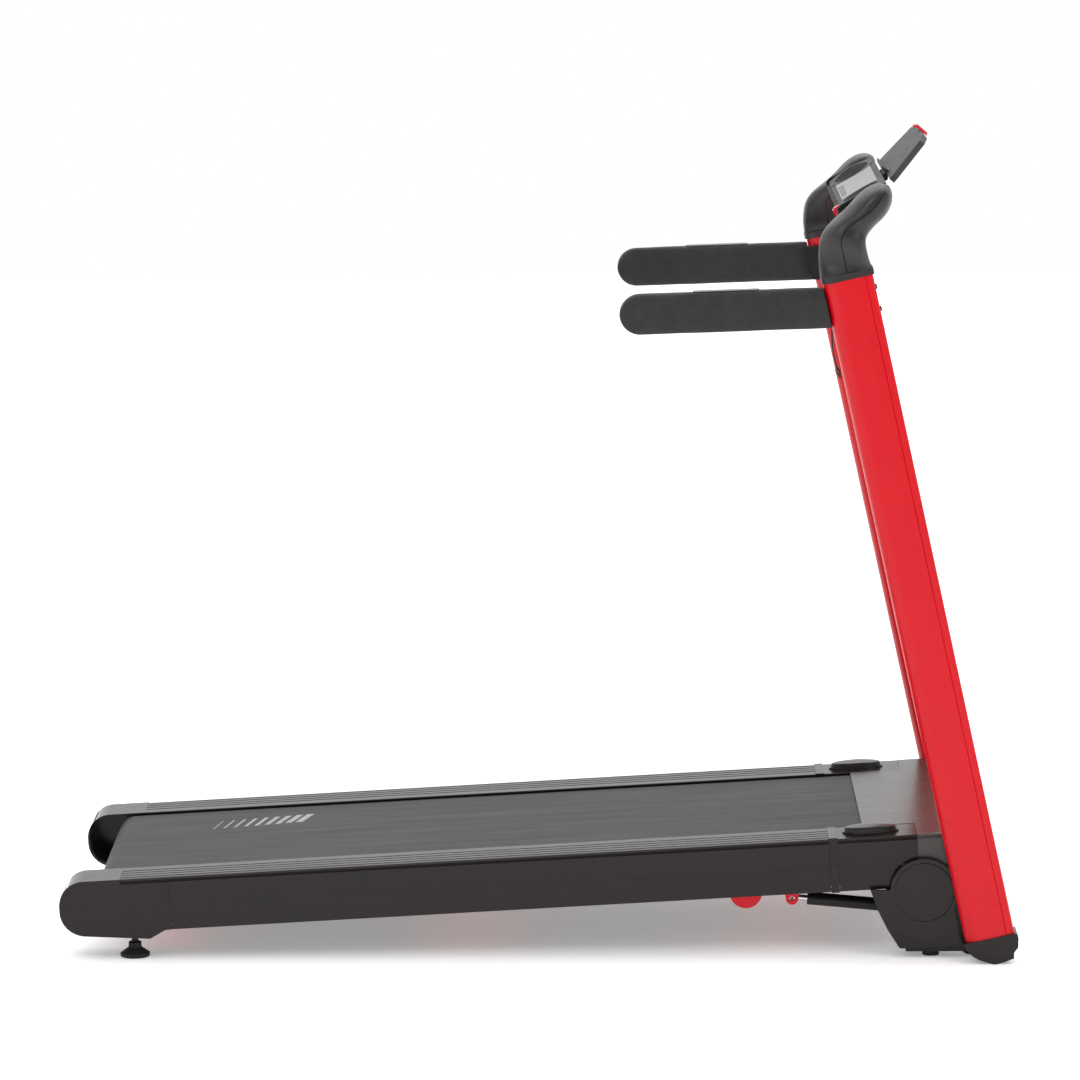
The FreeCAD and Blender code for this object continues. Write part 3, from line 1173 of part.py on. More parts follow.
os.makedirs("parts", exist_ok=True)
whole = FreeCAD.BoundBox()
for name, piece in nodes.items():
    shape = piece.Shape
    if shape.isNull() or not shape.isValid() or not shape.Solids:
        raise RuntimeError(name + " has no valid solid")
    whole.add(shape.BoundBox)
    shape.exportStep("parts/%s.step" % name)

print("%d nodes, box %s" % (len(nodes), whole))
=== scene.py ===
"""Looks of a folding motorised treadmill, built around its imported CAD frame.

Metres, +Z up, +X towards the console, -Y the runner's right-hand side.
"""

import math

import bmesh
import bpy
from mathutils import Matrix, Vector, noise


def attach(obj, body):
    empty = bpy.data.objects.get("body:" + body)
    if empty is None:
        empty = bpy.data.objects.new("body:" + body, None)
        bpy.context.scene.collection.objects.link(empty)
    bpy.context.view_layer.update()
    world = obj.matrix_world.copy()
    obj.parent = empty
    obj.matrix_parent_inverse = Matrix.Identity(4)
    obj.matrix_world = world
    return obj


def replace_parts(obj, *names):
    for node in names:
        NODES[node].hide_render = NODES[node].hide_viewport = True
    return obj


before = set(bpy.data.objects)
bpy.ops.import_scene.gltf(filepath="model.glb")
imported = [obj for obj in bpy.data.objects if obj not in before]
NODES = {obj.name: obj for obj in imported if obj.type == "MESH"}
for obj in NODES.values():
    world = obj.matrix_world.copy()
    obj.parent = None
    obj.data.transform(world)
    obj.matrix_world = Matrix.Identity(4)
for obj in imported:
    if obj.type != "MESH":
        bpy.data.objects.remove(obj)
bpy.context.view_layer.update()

# ---------------------------------------------------------------------------
# Camera
# ---------------------------------------------------------------------------

CAMERA_SPOT = Vector((0.09389, -8.59233, 1.99851))
RIGHT = Vector((0.99993, 0.00924, -0.00674))
DOWN = Vector((-0.00517, -0.16039, -0.98704))
FORWARD = Vector((-0.01020, 0.98701, -0.16033))

camera_data = bpy.data.cameras.new("camera")
camera_data.lens = 185.23
camera_data.sensor_width = 36.0
camera_data.clip_end = 60.0
camera = bpy.data.objects.new("camera", camera_data)
bpy.context.scene.collection.objects.link(camera)
camera.matrix_world = Matrix((
    (RIGHT.x, -DOWN.x, -FORWARD.x, CAMERA_SPOT.x),
    (RIGHT.y, -DOWN.y, -FORWARD.y, CAMERA_SPOT.y),
    (RIGHT.z, -DOWN.z, -FORWARD.z, CAMERA_SPOT.z),
    (0, 0, 0, 1)))
bpy.context.scene.camera = camera
bpy.context.scene.view_settings.view_transform = "Standard"

# ---------------------------------------------------------------------------
# Frames of the tilted pieces, as in the CAD
# ---------------------------------------------------------------------------


def tilted(x, z, degrees):
    """A frame at (x, 0, z), in metres, whose x axis rises towards +X."""
    return Matrix.Translation((x, 0, z)) @ Matrix.Rotation(-math.radians(degrees), 4, "Y")


DECK = tilted(0.5913, 0.1037, 3.05)
LEAN = tilted(0.698, 0.0, 12.2)
GRIP = tilted(0.1605, 0.9963, 1.75)
FACE = tilted(0.4689, 1.13875, 30.4)
REST = tilted(0.541, 1.173, 49.0)

# ---------------------------------------------------------------------------
# Materials
# ---------------------------------------------------------------------------


def linear(red, green, blue):
    """Linear colour from 8-bit display values."""
    def channel(value):
        value /= 255
        return value / 12.92 if value <= 0.04045 else ((value + 0.055) / 1.055) ** 2.4
    return (channel(red), channel(green), channel(blue), 1.0)


class Graph:
    """A small helper around one material's node tree."""

    def __init__(self, name):
        self.material = bpy.data.materials.new(name)
        self.material.use_nodes = True
        self.tree = self.material.node_tree
        self.shader = self.tree.nodes["Principled BSDF"]
        self.coords = self.tree.nodes.new("ShaderNodeTexCoord").outputs["Object"]

    def add(self, kind, **inputs):
        node = self.tree.nodes.new(kind)
        for name, value in inputs.items():
            socket = node.inputs[name.replace("_", " ")]
            if hasattr(value, "is_output"):
                self.tree.links.new(value, socket)
            else:
                socket.default_value = value
        return node

    def link(self, output, socket):
        self.tree.links.new(output, socket)

    def stretched(self, scale, turn=(0, 0, 0)):
        """Object coordinates scaled, and turned first, per axis."""
        node = self.add("ShaderNodeMapping", Vector=self.coords)
        node.inputs["Scale"].default_value = scale
        node.inputs["Rotation"].default_value = turn
        return node.outputs["Vector"]

    def speckle(self, scale, detail=3.0, vector=None):
        node = self.add("ShaderNodeTexNoise", Vector=vector or self.coords)
        node.inputs["Scale"].default_value = scale
        node.inputs["Detail"].default_value = detail
        return node.outputs["Fac"]

    def remap(self, value, low, high):
        node = self.add("ShaderNodeMapRange", Value=value)
        node.inputs["From Min"].default_value = 0.3
        node.inputs["From Max"].default_value = 0.7
        node.inputs["To Min"].default_value = low
        node.inputs["To Max"].default_value = high
        return node.outputs["Result"]

    def blend(self, factor, first, second):
        node = self.tree.nodes.new("ShaderNodeMix")
        node.data_type = "RGBA"
        self.link(factor, node.inputs["Factor"])
        for socket, value in ((node.inputs[6], first), (node.inputs[7], second)):
            if hasattr(value, "is_output"):
                self.link(value, socket)
            else:
                socket.default_value = value
        return node.outputs[2]

    def bump(self, height, strength, distance):
        node = self.add("ShaderNodeBump", Height=height)
        node.inputs["Strength"].default_value = strength
        node.inputs["Distance"].default_value = distance
        if self.shader.inputs["Normal"].is_linked:
            self.link(self.shader.inputs["Normal"].links[0].from_socket, node.inputs["Normal"])
        self.link(node.outputs["Normal"], self.shader.inputs["Normal"])


def shaded(colour, amount):
    return tuple(min(1.0, c * amount) for c in colour[:3]) + (1.0,)


def make_material(name, colour, rough=0.5, spread=0.06, metallic=0.0, mottling=0.12,
                  grain=900.0, grain_depth=0.00005, coat=0.0, sheen=0.0, brushed=None,
                  gloss=0.3):
    """A surface with mottled colour, uneven gloss and a grain at its real scale."""
    graph = Graph(name)
    shader = graph.shader
    shader.inputs["Metallic"].default_value = metallic
    shader.inputs["Coat Weight"].default_value = coat
    shader.inputs["Specular IOR Level"].default_value = gloss
    shader.inputs["Coat Roughness"].default_value = 0.12
    shader.inputs["Sheen Weight"].default_value = sheen
    cloud = graph.speckle(14.0, 4.0)
    dust = graph.speckle(160.0, 3.0)
    base = graph.blend(graph.remap(cloud, 0.0, 1.0), shaded(colour, 1 - mottling),
                       shaded(colour, 1 + mottling))
    base = graph.blend(graph.remap(dust, 0.0, 0.35), base, shaded(colour, 1 + 2 * mottling))
    graph.link(base, shader.inputs["Base Color"])
    if brushed:
        streaks = graph.speckle(60.0, 6.0, graph.stretched(brushed))
        graph.link(graph.remap(streaks, rough - spread, rough + spread),
                   shader.inputs["Roughness"])
        graph.bump(streaks, 0.25, grain_depth)
    else:
        graph.link(graph.remap(graph.speckle(45.0, 4.0), rough - spread, rough + spread),
                   shader.inputs["Roughness"])
        graph.bump(graph.speckle(grain, 2.0), 0.5, grain_depth)
    return graph.material


def belt_material():
    """Black belt rubber with a fine diamond weave and light scuffs along its run."""
    graph = Graph("running_belt")
    weave = []
    for angle in (45, -45):
        node = graph.add("ShaderNodeTexWave",
                         Vector=graph.stretched((1, 1, 1), (0, 0, math.radians(angle))))
        node.wave_type = "BANDS"
        node.bands_direction = "X"
        node.inputs["Scale"].default_value = 150.0
        weave.append(node.outputs["Fac"])
    product = graph.tree.nodes.new("ShaderNodeMath")
    product.operation = "MULTIPLY"
    graph.link(weave[0], product.inputs[0])
    graph.link(weave[1], product.inputs[1])
    dark = linear(*BELT_COLOUR)
    scuffs = graph.speckle(30.0, 5.0, graph.stretched((0.15, 1.6, 1.0)))
    base = graph.blend(graph.remap(scuffs, 0.0, 1.0), shaded(dark, 0.86), shaded(dark, 1.14))
    base = graph.blend(graph.remap(product.outputs[0], 0.0, 0.5), base, shaded(dark, 0.7))
    graph.link(base, graph.shader.inputs["Base Color"])
    graph.link(graph.remap(scuffs, 0.5, 0.6), graph.shader.inputs["Roughness"])
    graph.shader.inputs["Specular IOR Level"].default_value = 0.3
    graph.bump(product.outputs[0], 0.4, 0.00015)
    return graph.material


def foam_material():
    """Closed-cell foam: matt, pitted, a little lighter where it is rubbed."""
    graph = Graph("handle_foam")
    cells = graph.add("ShaderNodeTexVoronoi", Vector=graph.coords)
    cells.inputs["Scale"].default_value = 700.0
    dark = linear(*FOAM_COLOUR)
    base = graph.blend(graph.remap(graph.speckle(25.0, 4.0), 0.0, 1.0), shaded(dark, 0.85),
                       shaded(dark, 1.2))
    base = graph.blend(graph.remap(graph.speckle(420.0, 2.0), 0.0, 0.5), base,
                       shaded(dark, 1.7))
    graph.link(base, graph.shader.inputs["Base Color"])
    graph.link(graph.remap(graph.speckle(60.0), 0.82, 0.94), graph.shader.inputs["Roughness"])
    graph.shader.inputs["Sheen Weight"].default_value = 0.12
    graph.shader.inputs["Sheen Roughness"].default_value = 0.5
    graph.bump(cells.outputs["Distance"], 0.55, 0.0003)
    return graph.material


BELT_COLOUR = (36, 33, 32)
FOAM_COLOUR = (36, 35, 36)

MATERIALS = {
    "red_paint": make_material("red_paint", linear(204, 2, 22), rough=0.3, spread=0.03,
                               mottling=0.03, grain=1500.0, grain_depth=0.00003, gloss=0.3),
    "frame_red": make_material("frame_red", linear(225, 14, 34), rough=0.42, mottling=0.05),
    "frame_black": make_material("frame_black", linear(22, 21, 21), rough=0.4, mottling=0.08),
    "casing": make_material("casing", linear(28, 22, 21), rough=0.2, spread=0.03, mottling=0.06,
                            gloss=0.26, grain=1100.0, grain_depth=0.00004),
    "hood": make_material("hood", linear(60, 55, 54), rough=0.27, spread=0.02, mottling=0.03,
                          gloss=0.45, grain=1300.0, grain_depth=0.00003),
    "console": make_material("console", linear(42, 39, 39), rough=0.36, mottling=0.04, gloss=0.35,
                             grain=1200.0, grain_depth=0.00005),
    "shell": make_material("shell", linear(34, 32, 32), rough=0.6, mottling=0.05, gloss=0.15,
                           grain=1200.0, grain_depth=0.00005),
    "plate": make_material("plate", linear(62, 60, 61), rough=0.5, mottling=0.03, gloss=0.25,
                           grain=1200.0, grain_depth=0.00005),
    "face": make_material("face", linear(66, 65, 66), rough=0.55, mottling=0.06, grain=1000.0,
                          gloss=0.2),
    "lens": make_material("lens", linear(118, 118, 120), rough=0.3, spread=0.04, mottling=0.03,
                          grain=700.0, grain_depth=0.00001, coat=0.1),
    "grille": make_material("grille", linear(20, 19, 20), rough=0.6, mottling=0.1, gloss=0.15),
    "rim": make_material("rim", linear(64, 63, 64), rough=0.5, mottling=0.04, gloss=0.2,
                         grain=1200.0, grain_depth=0.00004),
    "rubber": make_material("rubber", linear(34, 33, 33), rough=0.62, mottling=0.12,
                            grain=500.0, grain_depth=0.0001),
    "pad": make_material("pad", linear(38, 35, 35), rough=0.3, spread=0.04, mottling=0.08,
                         grain=800.0, grain_depth=0.00003, coat=0.2),
    "steel": make_material("steel", (0.52, 0.52, 0.53, 1), rough=0.34, spread=0.1, metallic=1.0,
                           mottling=0.06, brushed=(1, 0.05, 1)),
    "zinc": make_material("zinc", (0.5, 0.5, 0.48, 1), rough=0.45, spread=0.1, metallic=1.0,
                          mottling=0.1, grain=250.0, grain_depth=0.00002),
    "contact": make_material("contact", (0.16, 0.16, 0.17, 1), rough=0.38, spread=0.08,
                             metallic=1.0, mottling=0.05, brushed=(0.05, 1, 1)),
    "chrome": make_material("chrome", (0.66, 0.66, 0.68, 1), rough=0.16, spread=0.05,
                            metallic=1.0, mottling=0.04, brushed=(0.08, 1, 1)),
    "aluminium": make_material("aluminium", (0.6, 0.61, 0.62, 1), rough=0.5, spread=0.1,
                               metallic=1.0, mottling=0.1, grain=350.0, grain_depth=0.0001),
    "board": make_material("board", linear(120, 98, 74), rough=0.4, mottling=0.18,
                           brushed=(0.05, 1, 1)),
    "circuit": make_material("circuit", linear(26, 92, 54), rough=0.35, mottling=0.25),
    "signal_red": make_material("signal_red", linear(226, 52, 62), rough=0.3, spread=0.04,
                                mottling=0.06, coat=0.3),
    "stop": make_material("stop", linear(150, 96, 96), rough=0.4, mottling=0.05),
    "button": make_material("button", linear(128, 128, 130), rough=0.4, mottling=0.05),
    "cord": make_material("cord", linear(28, 28, 30), rough=0.8, mottling=0.2, grain=2600.0,
                          grain_depth=0.0002, sheen=0.3),
    "print": make_material("print", linear(150, 150, 148), rough=0.55, mottling=0.12),
    "belt": belt_material(),
    "foam": foam_material(),
}

LOOKS = {
    "red_paint": ("upright_left", "upright_right"),
    "frame_red": ("deck_crossmembers", "latch_pedal"),
    "frame_black": ("base_beam", "base_side_plates", "deck_side_tubes", "strut_cylinder"),
    "casing": ("base_covers", "upright_boots", "foot_rail_left", "foot_rail_right", "rear_caps",
               "rail_front_covers", "joint_straps", "motor_underpan", "power_panel"),
    "hood": ("motor_hood",),
    "console": ("upright_collars", "console_arms_rear", "console_arms_front",
                "lanyard_clip"),
    "shell": ("console_lower_shell", "console_upper_shell", "handle_mounts"),
    "plate": ("tablet_holder",),
    "face": ("console_face_panel",),
    "lens": ("display_lens",),
    "grille": ("speaker_grilles",),
    "rubber": ("base_pads", "board_cushions", "drive_belt", "levelling_foot_left",
               "levelling_foot_right", "transport_wheel_left", "transport_wheel_right"),
    "pad": ("bumper_pads",),
    "steel": ("front_roller", "rear_roller", "roller_axles"),
    "contact": ("pulse_plates",),
    "zinc": ("pivot_bushes", "motor_rotor"),
    "chrome": ("strut_rod",),
    "aluminium": ("motor_housing",),
    "board": ("running_board",),
    "circuit": ("console_board", "controller_board"),
    "signal_red": ("safety_key", "tablet_clamp", "power_rocker"),
    "stop": ("button_stop",),
    "button": ("button_start", "button_mode", "button_speed_down", "button_speed_up"),
    "cord": ("lanyard_cord",),
    "belt": ("running_belt",),
    "foam": ("side_handle_left", "side_handle_right"),
}


def dress(piece, material):
    """Give every slot of an object one of the materials above."""
    if not piece.material_slots:
        piece.data.materials.append(None)
    for material_slot in piece.material_slots:
        material_slot.link = "OBJECT"
        material_slot.material = MATERIALS[material]


for look, names in LOOKS.items():
    for node_name in names:
        dress(NODES[node_name], look)

# moulded and painted edges catch the light on a small radius
EDGE_RADII = {
    "base_covers": 0.0012, "upright_boots": 0.0018, "rear_caps": 0.0010,
    "foot_rail_left": 0.0004, "foot_rail_right": 0.0004, "rail_front_covers": 0.0005,
    "joint_straps": 0.0006, "motor_hood": 0.0008, "upright_collars": 0.0006,
    "console_lower_shell": 0.0012, "console_upper_shell": 0.0012, "console_face_panel": 0.0004,
    "tablet_holder": 0.0012, "tablet_clamp": 0.0008,
    "safety_key": 0.0008, "handle_mounts": 0.0014, "latch_pedal": 0.0012,
    "base_side_plates": 0.0006, "deck_crossmembers": 0.0008, "base_beam": 0.0015,
    "lanyard_clip": 0.0004, "power_rocker": 0.0004, "motor_underpan": 0.0006,
}
for node_name, radius in EDGE_RADII.items():
    bevel = NODES[node_name].modifiers.new("edges", "BEVEL")
    bevel.width = radius
    bevel.segments = 2
    bevel.limit_method = "ANGLE"
    bevel.angle_limit = math.radians(38)
    bevel.use_clamp_overlap = True

# ---------------------------------------------------------------------------
# Mesh helpers
# ---------------------------------------------------------------------------


def new_piece(name, mesh, material, body):
    piece = bpy.data.objects.new(name, mesh)
    bpy.context.scene.collection.objects.link(piece)
    dress(piece, material)
    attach(piece, body)
    return piece


def smooth(mesh):
    for polygon in mesh.polygons:
        polygon.use_smooth = True


def ring_mesh(name, rings, transform=Matrix.Identity(4)):
    """A closed tube through rings of points, with both ends filled."""
    build = bmesh.new()
    rows = [[build.verts.new(transform @ Vector(p)) for p in ring] for ring in rings]
    count = len(rows[0])
    for near, far in zip(rows, rows[1:]):
        for i in range(count):
            j = (i + 1) % count
            build.faces.new((near[i], near[j], far[j], far[i]))
    build.faces.new(rows[0][::-1])
    build.faces.new(rows[-1])
    bmesh.ops.recalc_face_normals(build, faces=build.faces)
    mesh = bpy.data.meshes.new(name)
    build.to_mesh(mesh)
    build.free()
    smooth(mesh)
    return mesh


def slab_mesh(name, outlines, low, high, transform):
    """Flat prisms between two heights, one for each outline."""
    build = bmesh.new()
    for outline in outlines:
        bottom = [build.verts.new(transform @ Vector((x, y, low))) for x, y in outline]
        top = [build.verts.new(transform @ Vector((x, y, high))) for x, y in outline]
        count = len(outline)
        for i in range(count):
            j = (i + 1) % count
            build.faces.new((bottom[i], bottom[j], top[j], top[i]))
        build.faces.new(bottom[::-1])
        build.faces.new(top)
    bmesh.ops.recalc_face_normals(build, faces=build.faces)
    mesh = bpy.data.meshes.new(name)
    build.to_mesh(mesh)
    build.free()
    return mesh


def catmull(rows, steps):
    """A smooth run through rows of numbers."""
    out = []
    for i in range(len(rows) - 1):
        p0, p1 = rows[max(i - 1, 0)], rows[i]
        p2, p3 = rows[i + 1], rows[min(i + 2, len(rows) - 1)]
        for step in range(steps):
            t = step / steps
            out.append([0.5 * (2 * b + (c - a) * t + (2 * a - 5 * b + 4 * c - d) * t * t
                               + (3 * b - a - 3 * c + d) * t ** 3)
                        for a, b, c, d in zip(p0, p1, p2, p3)])
    out.append(list(rows[-1]))
    return out


# ---------------------------------------------------------------------------
# Console arms: a bent, rounded tube in two mouldings that meet along a seam
# ---------------------------------------------------------------------------

# rear point x, z; front point x, z; middle y; half width; seam's share from the rear;
# how square the outer and inner sides are
ARM_STATIONS = [
    (0.4302, 1.0514, 0.5073, 1.0680, 0.3183, 0.0216, 0.512, 2.7, 2.7),
    (0.4284, 1.0668, 0.5045, 1.0745, 0.3130, 0.0222, 0.510, 2.6, 2.6),
    (0.4283, 1.0830, 0.5015, 1.0860, 0.3010, 0.0228, 0.500, 2.5, 2.5),
    (0.4300, 1.0980, 0.5000, 1.0975, 0.2870, 0.0236, 0.455, 2.4, 2.4),
    (0.4340, 1.1095, 0.5015, 1.1060, 0.2770, 0.0255, 0.440, 2.3, 2.4),
    (0.4412, 1.1200, 0.5068, 1.1140, 0.2690, 0.0300, 0.425, 2.3, 2.6),
    (0.4520, 1.1300, 0.5155, 1.1230, 0.2620, 0.0370, 0.430, 2.3, 3.0),
    (0.4645, 1.1402, 0.5260, 1.1325, 0.2578, 0.0425, 0.455, 2.3, 3.6),
    (0.4768, 1.1518, 0.5345, 1.1430, 0.2572, 0.0428, 0.517, 2.3, 4.0),
    (0.4882, 1.1640, 0.5395, 1.1545, 0.2568, 0.0424, 0.570, 2.3, 4.0),
    (0.4995, 1.1738, 0.5410, 1.1650, 0.2560, 0.0415, 0.590, 2.2, 4.0),
    (0.5105, 1.1800, 0.5400, 1.1730, 0.2540, 0.0385, 0.600, 2.1, 3.6),
    (0.5200, 1.1828, 0.5372, 1.1788, 0.2500, 0.0300, 0.600, 2.0, 3.0),
    (0.5268, 1.1826, 0.5330, 1.1812, 0.2440, 0.0150, 0.600, 2.0, 2.0),
]

SEAM_GAP, SEAM_LIP, SEAM_DEPTH = 0.0002, 0.0007, 0.0009
ARM_STEPS = 14


def arm_half(side, rear):
    """Rings of one moulding of an arm, from the collar to the tip."""
    rings = []
    for row in catmull(ARM_STATIONS, 5):
        back, ahead = Vector((row[0], 0, row[1])), Vector((row[2], 0, row[3]))
        middle, reach = (back + ahead) / 2, (back - ahead) / 2
        y_mid, half, share, outer, inner = row[4:]

        def spot(place, bulge):
            power_of = outer if bulge > 0 else inner
            size = max(0.0, 1 - abs(place) ** power_of) ** (1 / power_of)
            y = y_mid + math.copysign(half * size, bulge)
            point = middle + reach * place
            return (point.x, side * y, point.z)

        gap = SEAM_GAP / reach.length
        seam = 1 - 2 * share + (gap if rear else -gap)
        end = 1.0 if rear else -1.0
        lip = min(SEAM_LIP / reach.length, 0.2)
        places = []
        for step in range(ARM_STEPS + 1):
            turn_to = math.radians(90 * step / ARM_STEPS)
            places.append(end + (seam - end) * (1 - math.cos(turn_to)))
        places[-1] = seam + (lip if rear else -lip)
        ring = [spot(place, 1) for place in reversed(places)]
        ring += [spot(place, -1) for place in places[1:]]
        for place, bulge in ((seam, -1), (seam, 1)):
            x, y, z = spot(place, bulge)
            ring.append((x, y - side * math.copysign(SEAM_DEPTH, bulge), z))
        rings.append(ring)
    return rings


for side, word in ((1, "left"), (-1, "right")):
    for rear, place in ((True, "rear"), (False, "front")):
        name = "arm_%s_%s" % (place, word)
        mesh = ring_mesh(name, arm_half(side, rear))
        mesh.set_sharp_from_angle(angle=math.radians(40))
        moulding = new_piece(name, mesh, "console", "frame")
        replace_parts(moulding, "console_arms_" + place)

# ---------------------------------------------------------------------------
# Speaker wings: the console's ends rise to the arms, each with an oval ribbed grille
# ---------------------------------------------------------------------------

OVAL_X, OVAL_Y, OVAL_LONG, OVAL_WIDE = 0.037, 0.152, 0.030, 0.044
WING_STEPS, DISH_RINGS, RIM_RINGS = 96, 40, 12
WING_HALF_LONG, WING_HALF_WIDE, WING_FOOT = 0.0385, 0.0600, 0.0041
WAIST_LONG, WAIST_WIDE = 0.0400, 0.0475
RIB_PITCH, RIB_HEIGHT, DISH_DEPTH = 0.0075, 0.0011, 0.0016


def wing_height(x, y):
    """Height over the face, in metres, rising smoothly towards the console's end."""
    rise = min(1.0, max(0.0, (y - 0.104) / 0.108))
    crown = 1 - 0.95 * min(1.0, abs((x - OVAL_X) / 0.040) ** 2.5)
    return 0.0047 + 0.0048 * rise * crown


def dish_point(share, c, n):
    """A point of the sunk, ribbed grille; share runs from its middle to its rim."""
    x = OVAL_X + OVAL_LONG * c * share
    y = OVAL_Y + OVAL_WIDE * n * share
    sunk = DISH_DEPTH * min(1.0, (1 - share) * 14)
    rib = RIB_HEIGHT * (0.5 + 0.5 * math.cos(2 * math.pi * ((y - OVAL_Y) / RIB_PITCH)))
    return (x, y, wing_height(x, y) - sunk + rib * min(1.0, (1 - share) * 9))


def rim_point(share, c, n):
    """A point of the surface round the grille, out to the wing's edge."""
    square = max(abs(c) / WING_HALF_LONG, abs(n) / WING_HALF_WIDE)
    far = (OVAL_X + c / square, OVAL_Y + n / square)
    near_edge = OVAL_Y - WAIST_WIDE * math.sqrt(max(0.0, 1 - ((far[0] - OVAL_X) / WAIST_LONG) ** 2))
    far_y = max(far[1], near_edge)
    oval = (OVAL_X + OVAL_LONG * c, OVAL_Y + OVAL_WIDE * n)
    x = oval[0] + (far[0] - oval[0]) * share
    y = oval[1] + (far_y - oval[1]) * share
    edge = max(0.0, (abs(x - OVAL_X) - 0.0335) / 0.005)
    drop = 0.5 * (1 - math.sqrt(max(0.0, 1 - min(1.0, edge) ** 2)))
    height = wing_height(x, y)
    return (x, y, height - drop * (height - 0.0042))


def speaker_wing(name, side):
    turns = [2 * math.pi * step / WING_STEPS for step in range(WING_STEPS)]
    rows = [[dish_point(max(ring, 0.35) / DISH_RINGS, math.cos(turn), math.sin(turn))
             for turn in turns] for ring in range(DISH_RINGS + 1)]
    rows += [[rim_point(ring / RIM_RINGS, math.cos(turn), math.sin(turn)) for turn in turns]
             for ring in range(1, RIM_RINGS + 1)]
    rows.append([(x, y, WING_FOOT) for x, y, z in rows[-1]])
    mesh = ring_mesh(name, [[(x, side * y, z) for x, y, z in row] for row in rows], FACE)
    mesh.set_sharp_from_angle(angle=math.radians(50))
    wing = new_piece(name, mesh, "rim", "frame")
    wing.data.materials.append(None)
    wing.material_slots[1].link = "OBJECT"
    wing.material_slots[1].material = MATERIALS["grille"]
    first_end_cap = WING_STEPS * (len(rows) - 1)
    for polygon in mesh.polygons:
        if polygon.index < WING_STEPS * DISH_RINGS or polygon.index == first_end_cap:
            polygon.material_index = 1
    return wing


for side, word in ((1, "left"), (-1, "right")):
    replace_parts(speaker_wing("speaker_wing_" + word, side), "speaker_grilles")

# ---------------------------------------------------------------------------
# Side handles: foam sleeves with a rounded rear end
# ---------------------------------------------------------------------------

HANDLE_LENGTH = 0.2812
HANDLE_SLANT = 0.184
HANDLE_TALL = 0.0310
HANDLE_THICK = 0.0170
HANDLE_Y = 0.318


def power(value, exponent):
    return math.copysign(abs(value) ** exponent, value)


def handle_ring(x, tall, thick, side):
    """One cross-section: a rounded upright oblong, slightly uneven like soft foam."""
    points = []
    for step in range(40):
        angle = 2 * math.pi * step / 40
        y = thick * power(math.cos(angle), 0.52)
        z = tall * power(math.sin(angle), 0.62)
        dent = noise.noise(Vector((x * 22, y * 60 + side * 5, z * 40))) * 0.0005
        scale = 1 + (dent - 0.0003) / max(tall, thick)
        points.append((x, side * HANDLE_Y + y * scale, z * scale))
    return points


def handle_foam(side):
    rings = []
    for step in range(13):
        angle = math.radians(88 - 88 * step / 12)
        reach = HANDLE_TALL * math.sin(angle)
        tall = HANDLE_TALL * math.cos(angle)
        thick = HANDLE_THICK * (0.55 + 0.45 * min(1.0, math.cos(angle) * 1.9) ** 0.6)
        rings.append(handle_ring(-reach, max(tall, 0.0012), thick, side))
    for step in range(1, 25):
        x = (HANDLE_LENGTH - 0.0035) * step / 24
        rings.append(handle_ring(x, HANDLE_TALL, HANDLE_THICK, side))
    rings.append(handle_ring(HANDLE_LENGTH - 0.0012, HANDLE_TALL - 0.0008,
                             HANDLE_THICK - 0.0008, side))
    rings.append(handle_ring(HANDLE_LENGTH, HANDLE_TALL - 0.0030, HANDLE_THICK - 0.0030, side))
    return [[(x - HANDLE_SLANT * z * max(0.0, x) / HANDLE_LENGTH, y, z) for x, y, z in ring]
            for ring in rings]


for side, word in ((1, "left"), (-1, "right")):
    sleeve = new_piece("handle_foam_" + word,
                       ring_mesh("handle_foam_" + word, handle_foam(side), GRIP), "foam", "frame")
    rounding = sleeve.modifiers.new("rounding", "SUBSURF")
    rounding.levels = 1
    rounding.render_levels = 2
    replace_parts(sleeve, "side_handle_" + word)

# ---------------------------------------------------------------------------
# Lanyard: a limp cord from the safety key down to its clip
# ---------------------------------------------------------------------------

CORD_ROUTE = [
    (0.462786, -0.15, 1.126240), (0.462186, -0.15, 1.0980), (0.4552, -0.1492, 1.0520),
    (0.4546, -0.1496, 1.0040), (0.4550, -0.1508, 0.9560), (0.4562, -0.1505, 0.9140),
    (0.4630, -0.15, 0.8930)]
cord_curve = bpy.data.curves.new("lanyard", "CURVE")
cord_curve.dimensions = "3D"
cord_curve.bevel_depth = 0.0013
cord_curve.bevel_resolution = 4
cord_curve.resolution_u = 12
cord_curve.use_fill_caps = True
spline = cord_curve.splines.new("NURBS")
spline.points.add(len(CORD_ROUTE) - 1)
for point, spot in zip(spline.points, CORD_ROUTE):
    point.co = (*spot, 1.0)
spline.order_u = 3
spline.use_endpoint_u = True
lanyard = new_piece("lanyard", cord_curve, "cord", "safety_key")
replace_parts(lanyard, "lanyard_cord")

# ---------------------------------------------------------------------------
# Belt print: slanted bars that grow towards the front
# ---------------------------------------------------------------------------

bars = []
for index in range(9):
    start = -1.1080 + 0.0163 * index
    width = 0.0016 + 0.00125 * index
    rear_y = 0.064 + 0.0022 * index
    front_y = rear_y + 0.056
    lean = 0.012 + 0.0006 * index
    bars.append([(start, rear_y), (start + width, rear_y), (start + width + lean, front_y),
                 (start + lean, front_y)])
print_piece = new_piece("belt_print", slab_mesh("belt_print", bars, 0.0839, 0.08412, DECK),
                        "print", "deck")

# ---------------------------------------------------------------------------
# Floor, world and lights
# ---------------------------------------------------------------------------

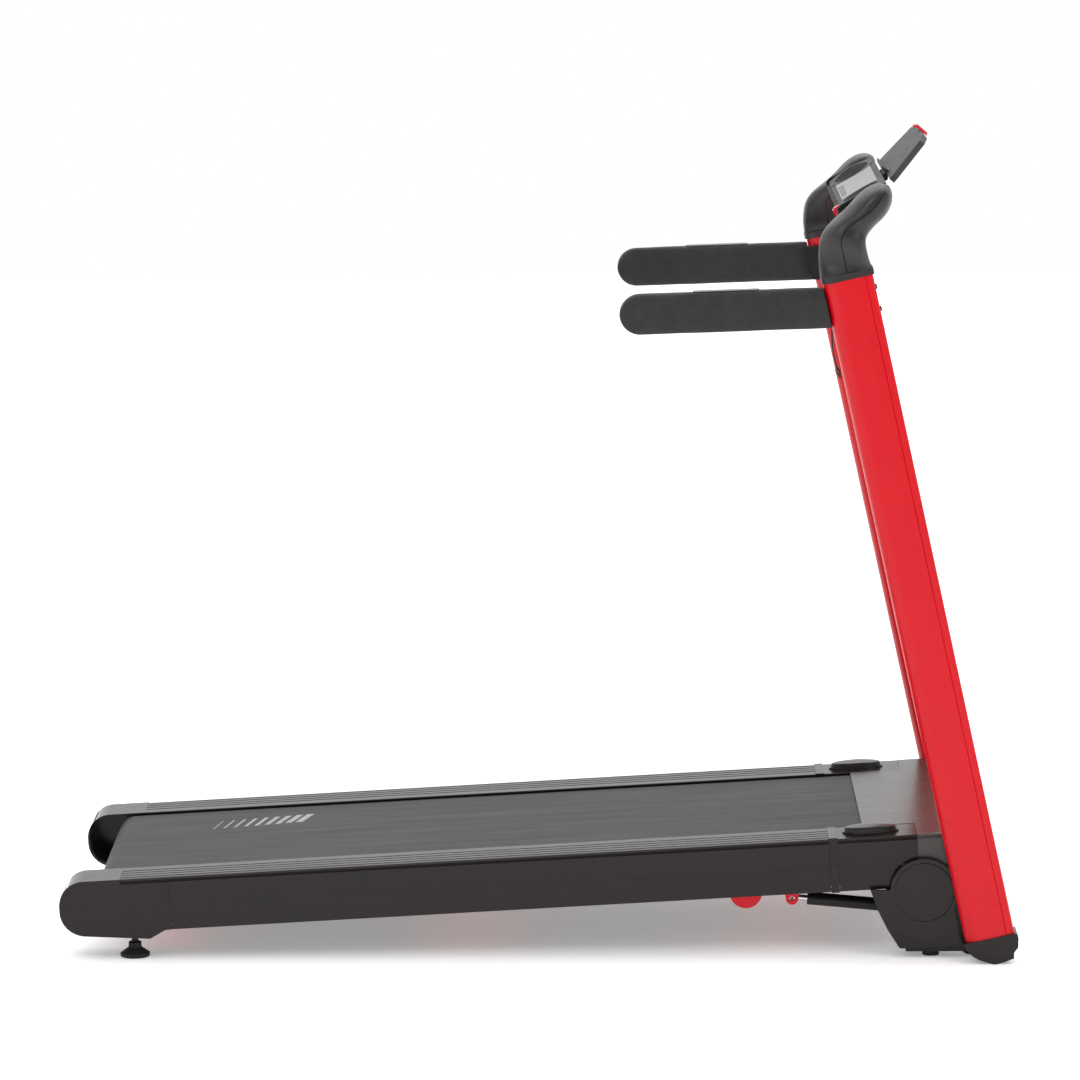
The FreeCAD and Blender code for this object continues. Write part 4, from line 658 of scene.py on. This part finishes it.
floor_mesh = slab_mesh("floor", [[(-9, -9), (9, -9), (9, 9), (-9, 9)]], -0.05, -0.0001,
                       Matrix.Identity(4))
floor = bpy.data.objects.new("floor", floor_mesh)
bpy.context.scene.collection.objects.link(floor)
floor_graph = Graph("floor")
pale = (0.93, 0.93, 0.93, 1)
floor_graph.link(floor_graph.blend(floor_graph.remap(floor_graph.speckle(2.0), 0.0, 1.0), pale,
                                   shaded(pale, 1.02)), floor_graph.shader.inputs["Base Color"])
floor_graph.shader.inputs["Roughness"].default_value = 0.7
floor_graph.shader.inputs["Emission Color"].default_value = (1, 1, 1, 1)
floor_graph.shader.inputs["Emission Strength"].default_value = 0.28
floor.data.materials.append(floor_graph.material)

world = bpy.data.worlds.new("studio")
world.use_nodes = True
sky = world.node_tree
split = sky.nodes.new("ShaderNodeSeparateXYZ")
sky.links.new(sky.nodes.new("ShaderNodeTexCoord").outputs["Generated"], split.inputs["Vector"])
fade = sky.nodes.new("ShaderNodeMapRange")
fade.inputs["From Min"].default_value = -0.5
fade.inputs["From Max"].default_value = 0.4
fade.inputs["To Min"].default_value = 0.32
fade.inputs["To Max"].default_value = 1.05
sky.links.new(split.outputs["Y"], fade.inputs["Value"])
seen = sky.nodes.new("ShaderNodeMix")
sky.links.new(sky.nodes.new("ShaderNodeLightPath").outputs["Is Camera Ray"],
              seen.inputs["Factor"])
sky.links.new(fade.outputs["Result"], seen.inputs[2])
seen.inputs[3].default_value = 1.0
sky.links.new(seen.outputs[0], sky.nodes["Background"].inputs["Strength"])
sky.nodes["Background"].inputs["Color"].default_value = (1, 1, 1, 1)
bpy.context.scene.world = world


def area_light(name, spot, target, size, power_watts):
    data = bpy.data.lights.new(name, "AREA")
    data.shape = "RECTANGLE"
    data.size, data.size_y = size
    data.energy = power_watts
    light = bpy.data.objects.new(name, data)
    light.location = spot
    way = Vector(target) - Vector(spot)
    light.rotation_euler = way.to_track_quat("-Z", "Y").to_euler()
    bpy.context.scene.collection.objects.link(light)


area_light("key", (-1.6, -3.4, 3.6), (0, 0, 0.5), (2.4, 1.6), 45)
area_light("fill", (2.8, -2.6, 2.2), (0.3, 0, 0.6), (1.6, 2.2), 25)
sun_data = bpy.data.lights.new("overhead", "SUN")
sun_data.energy = 1.7
sun_data.angle = math.radians(100)
sun = bpy.data.objects.new("overhead", sun_data)
sun.rotation_euler = (math.radians(-14), 0, 0)
bpy.context.scene.collection.objects.link(sun)
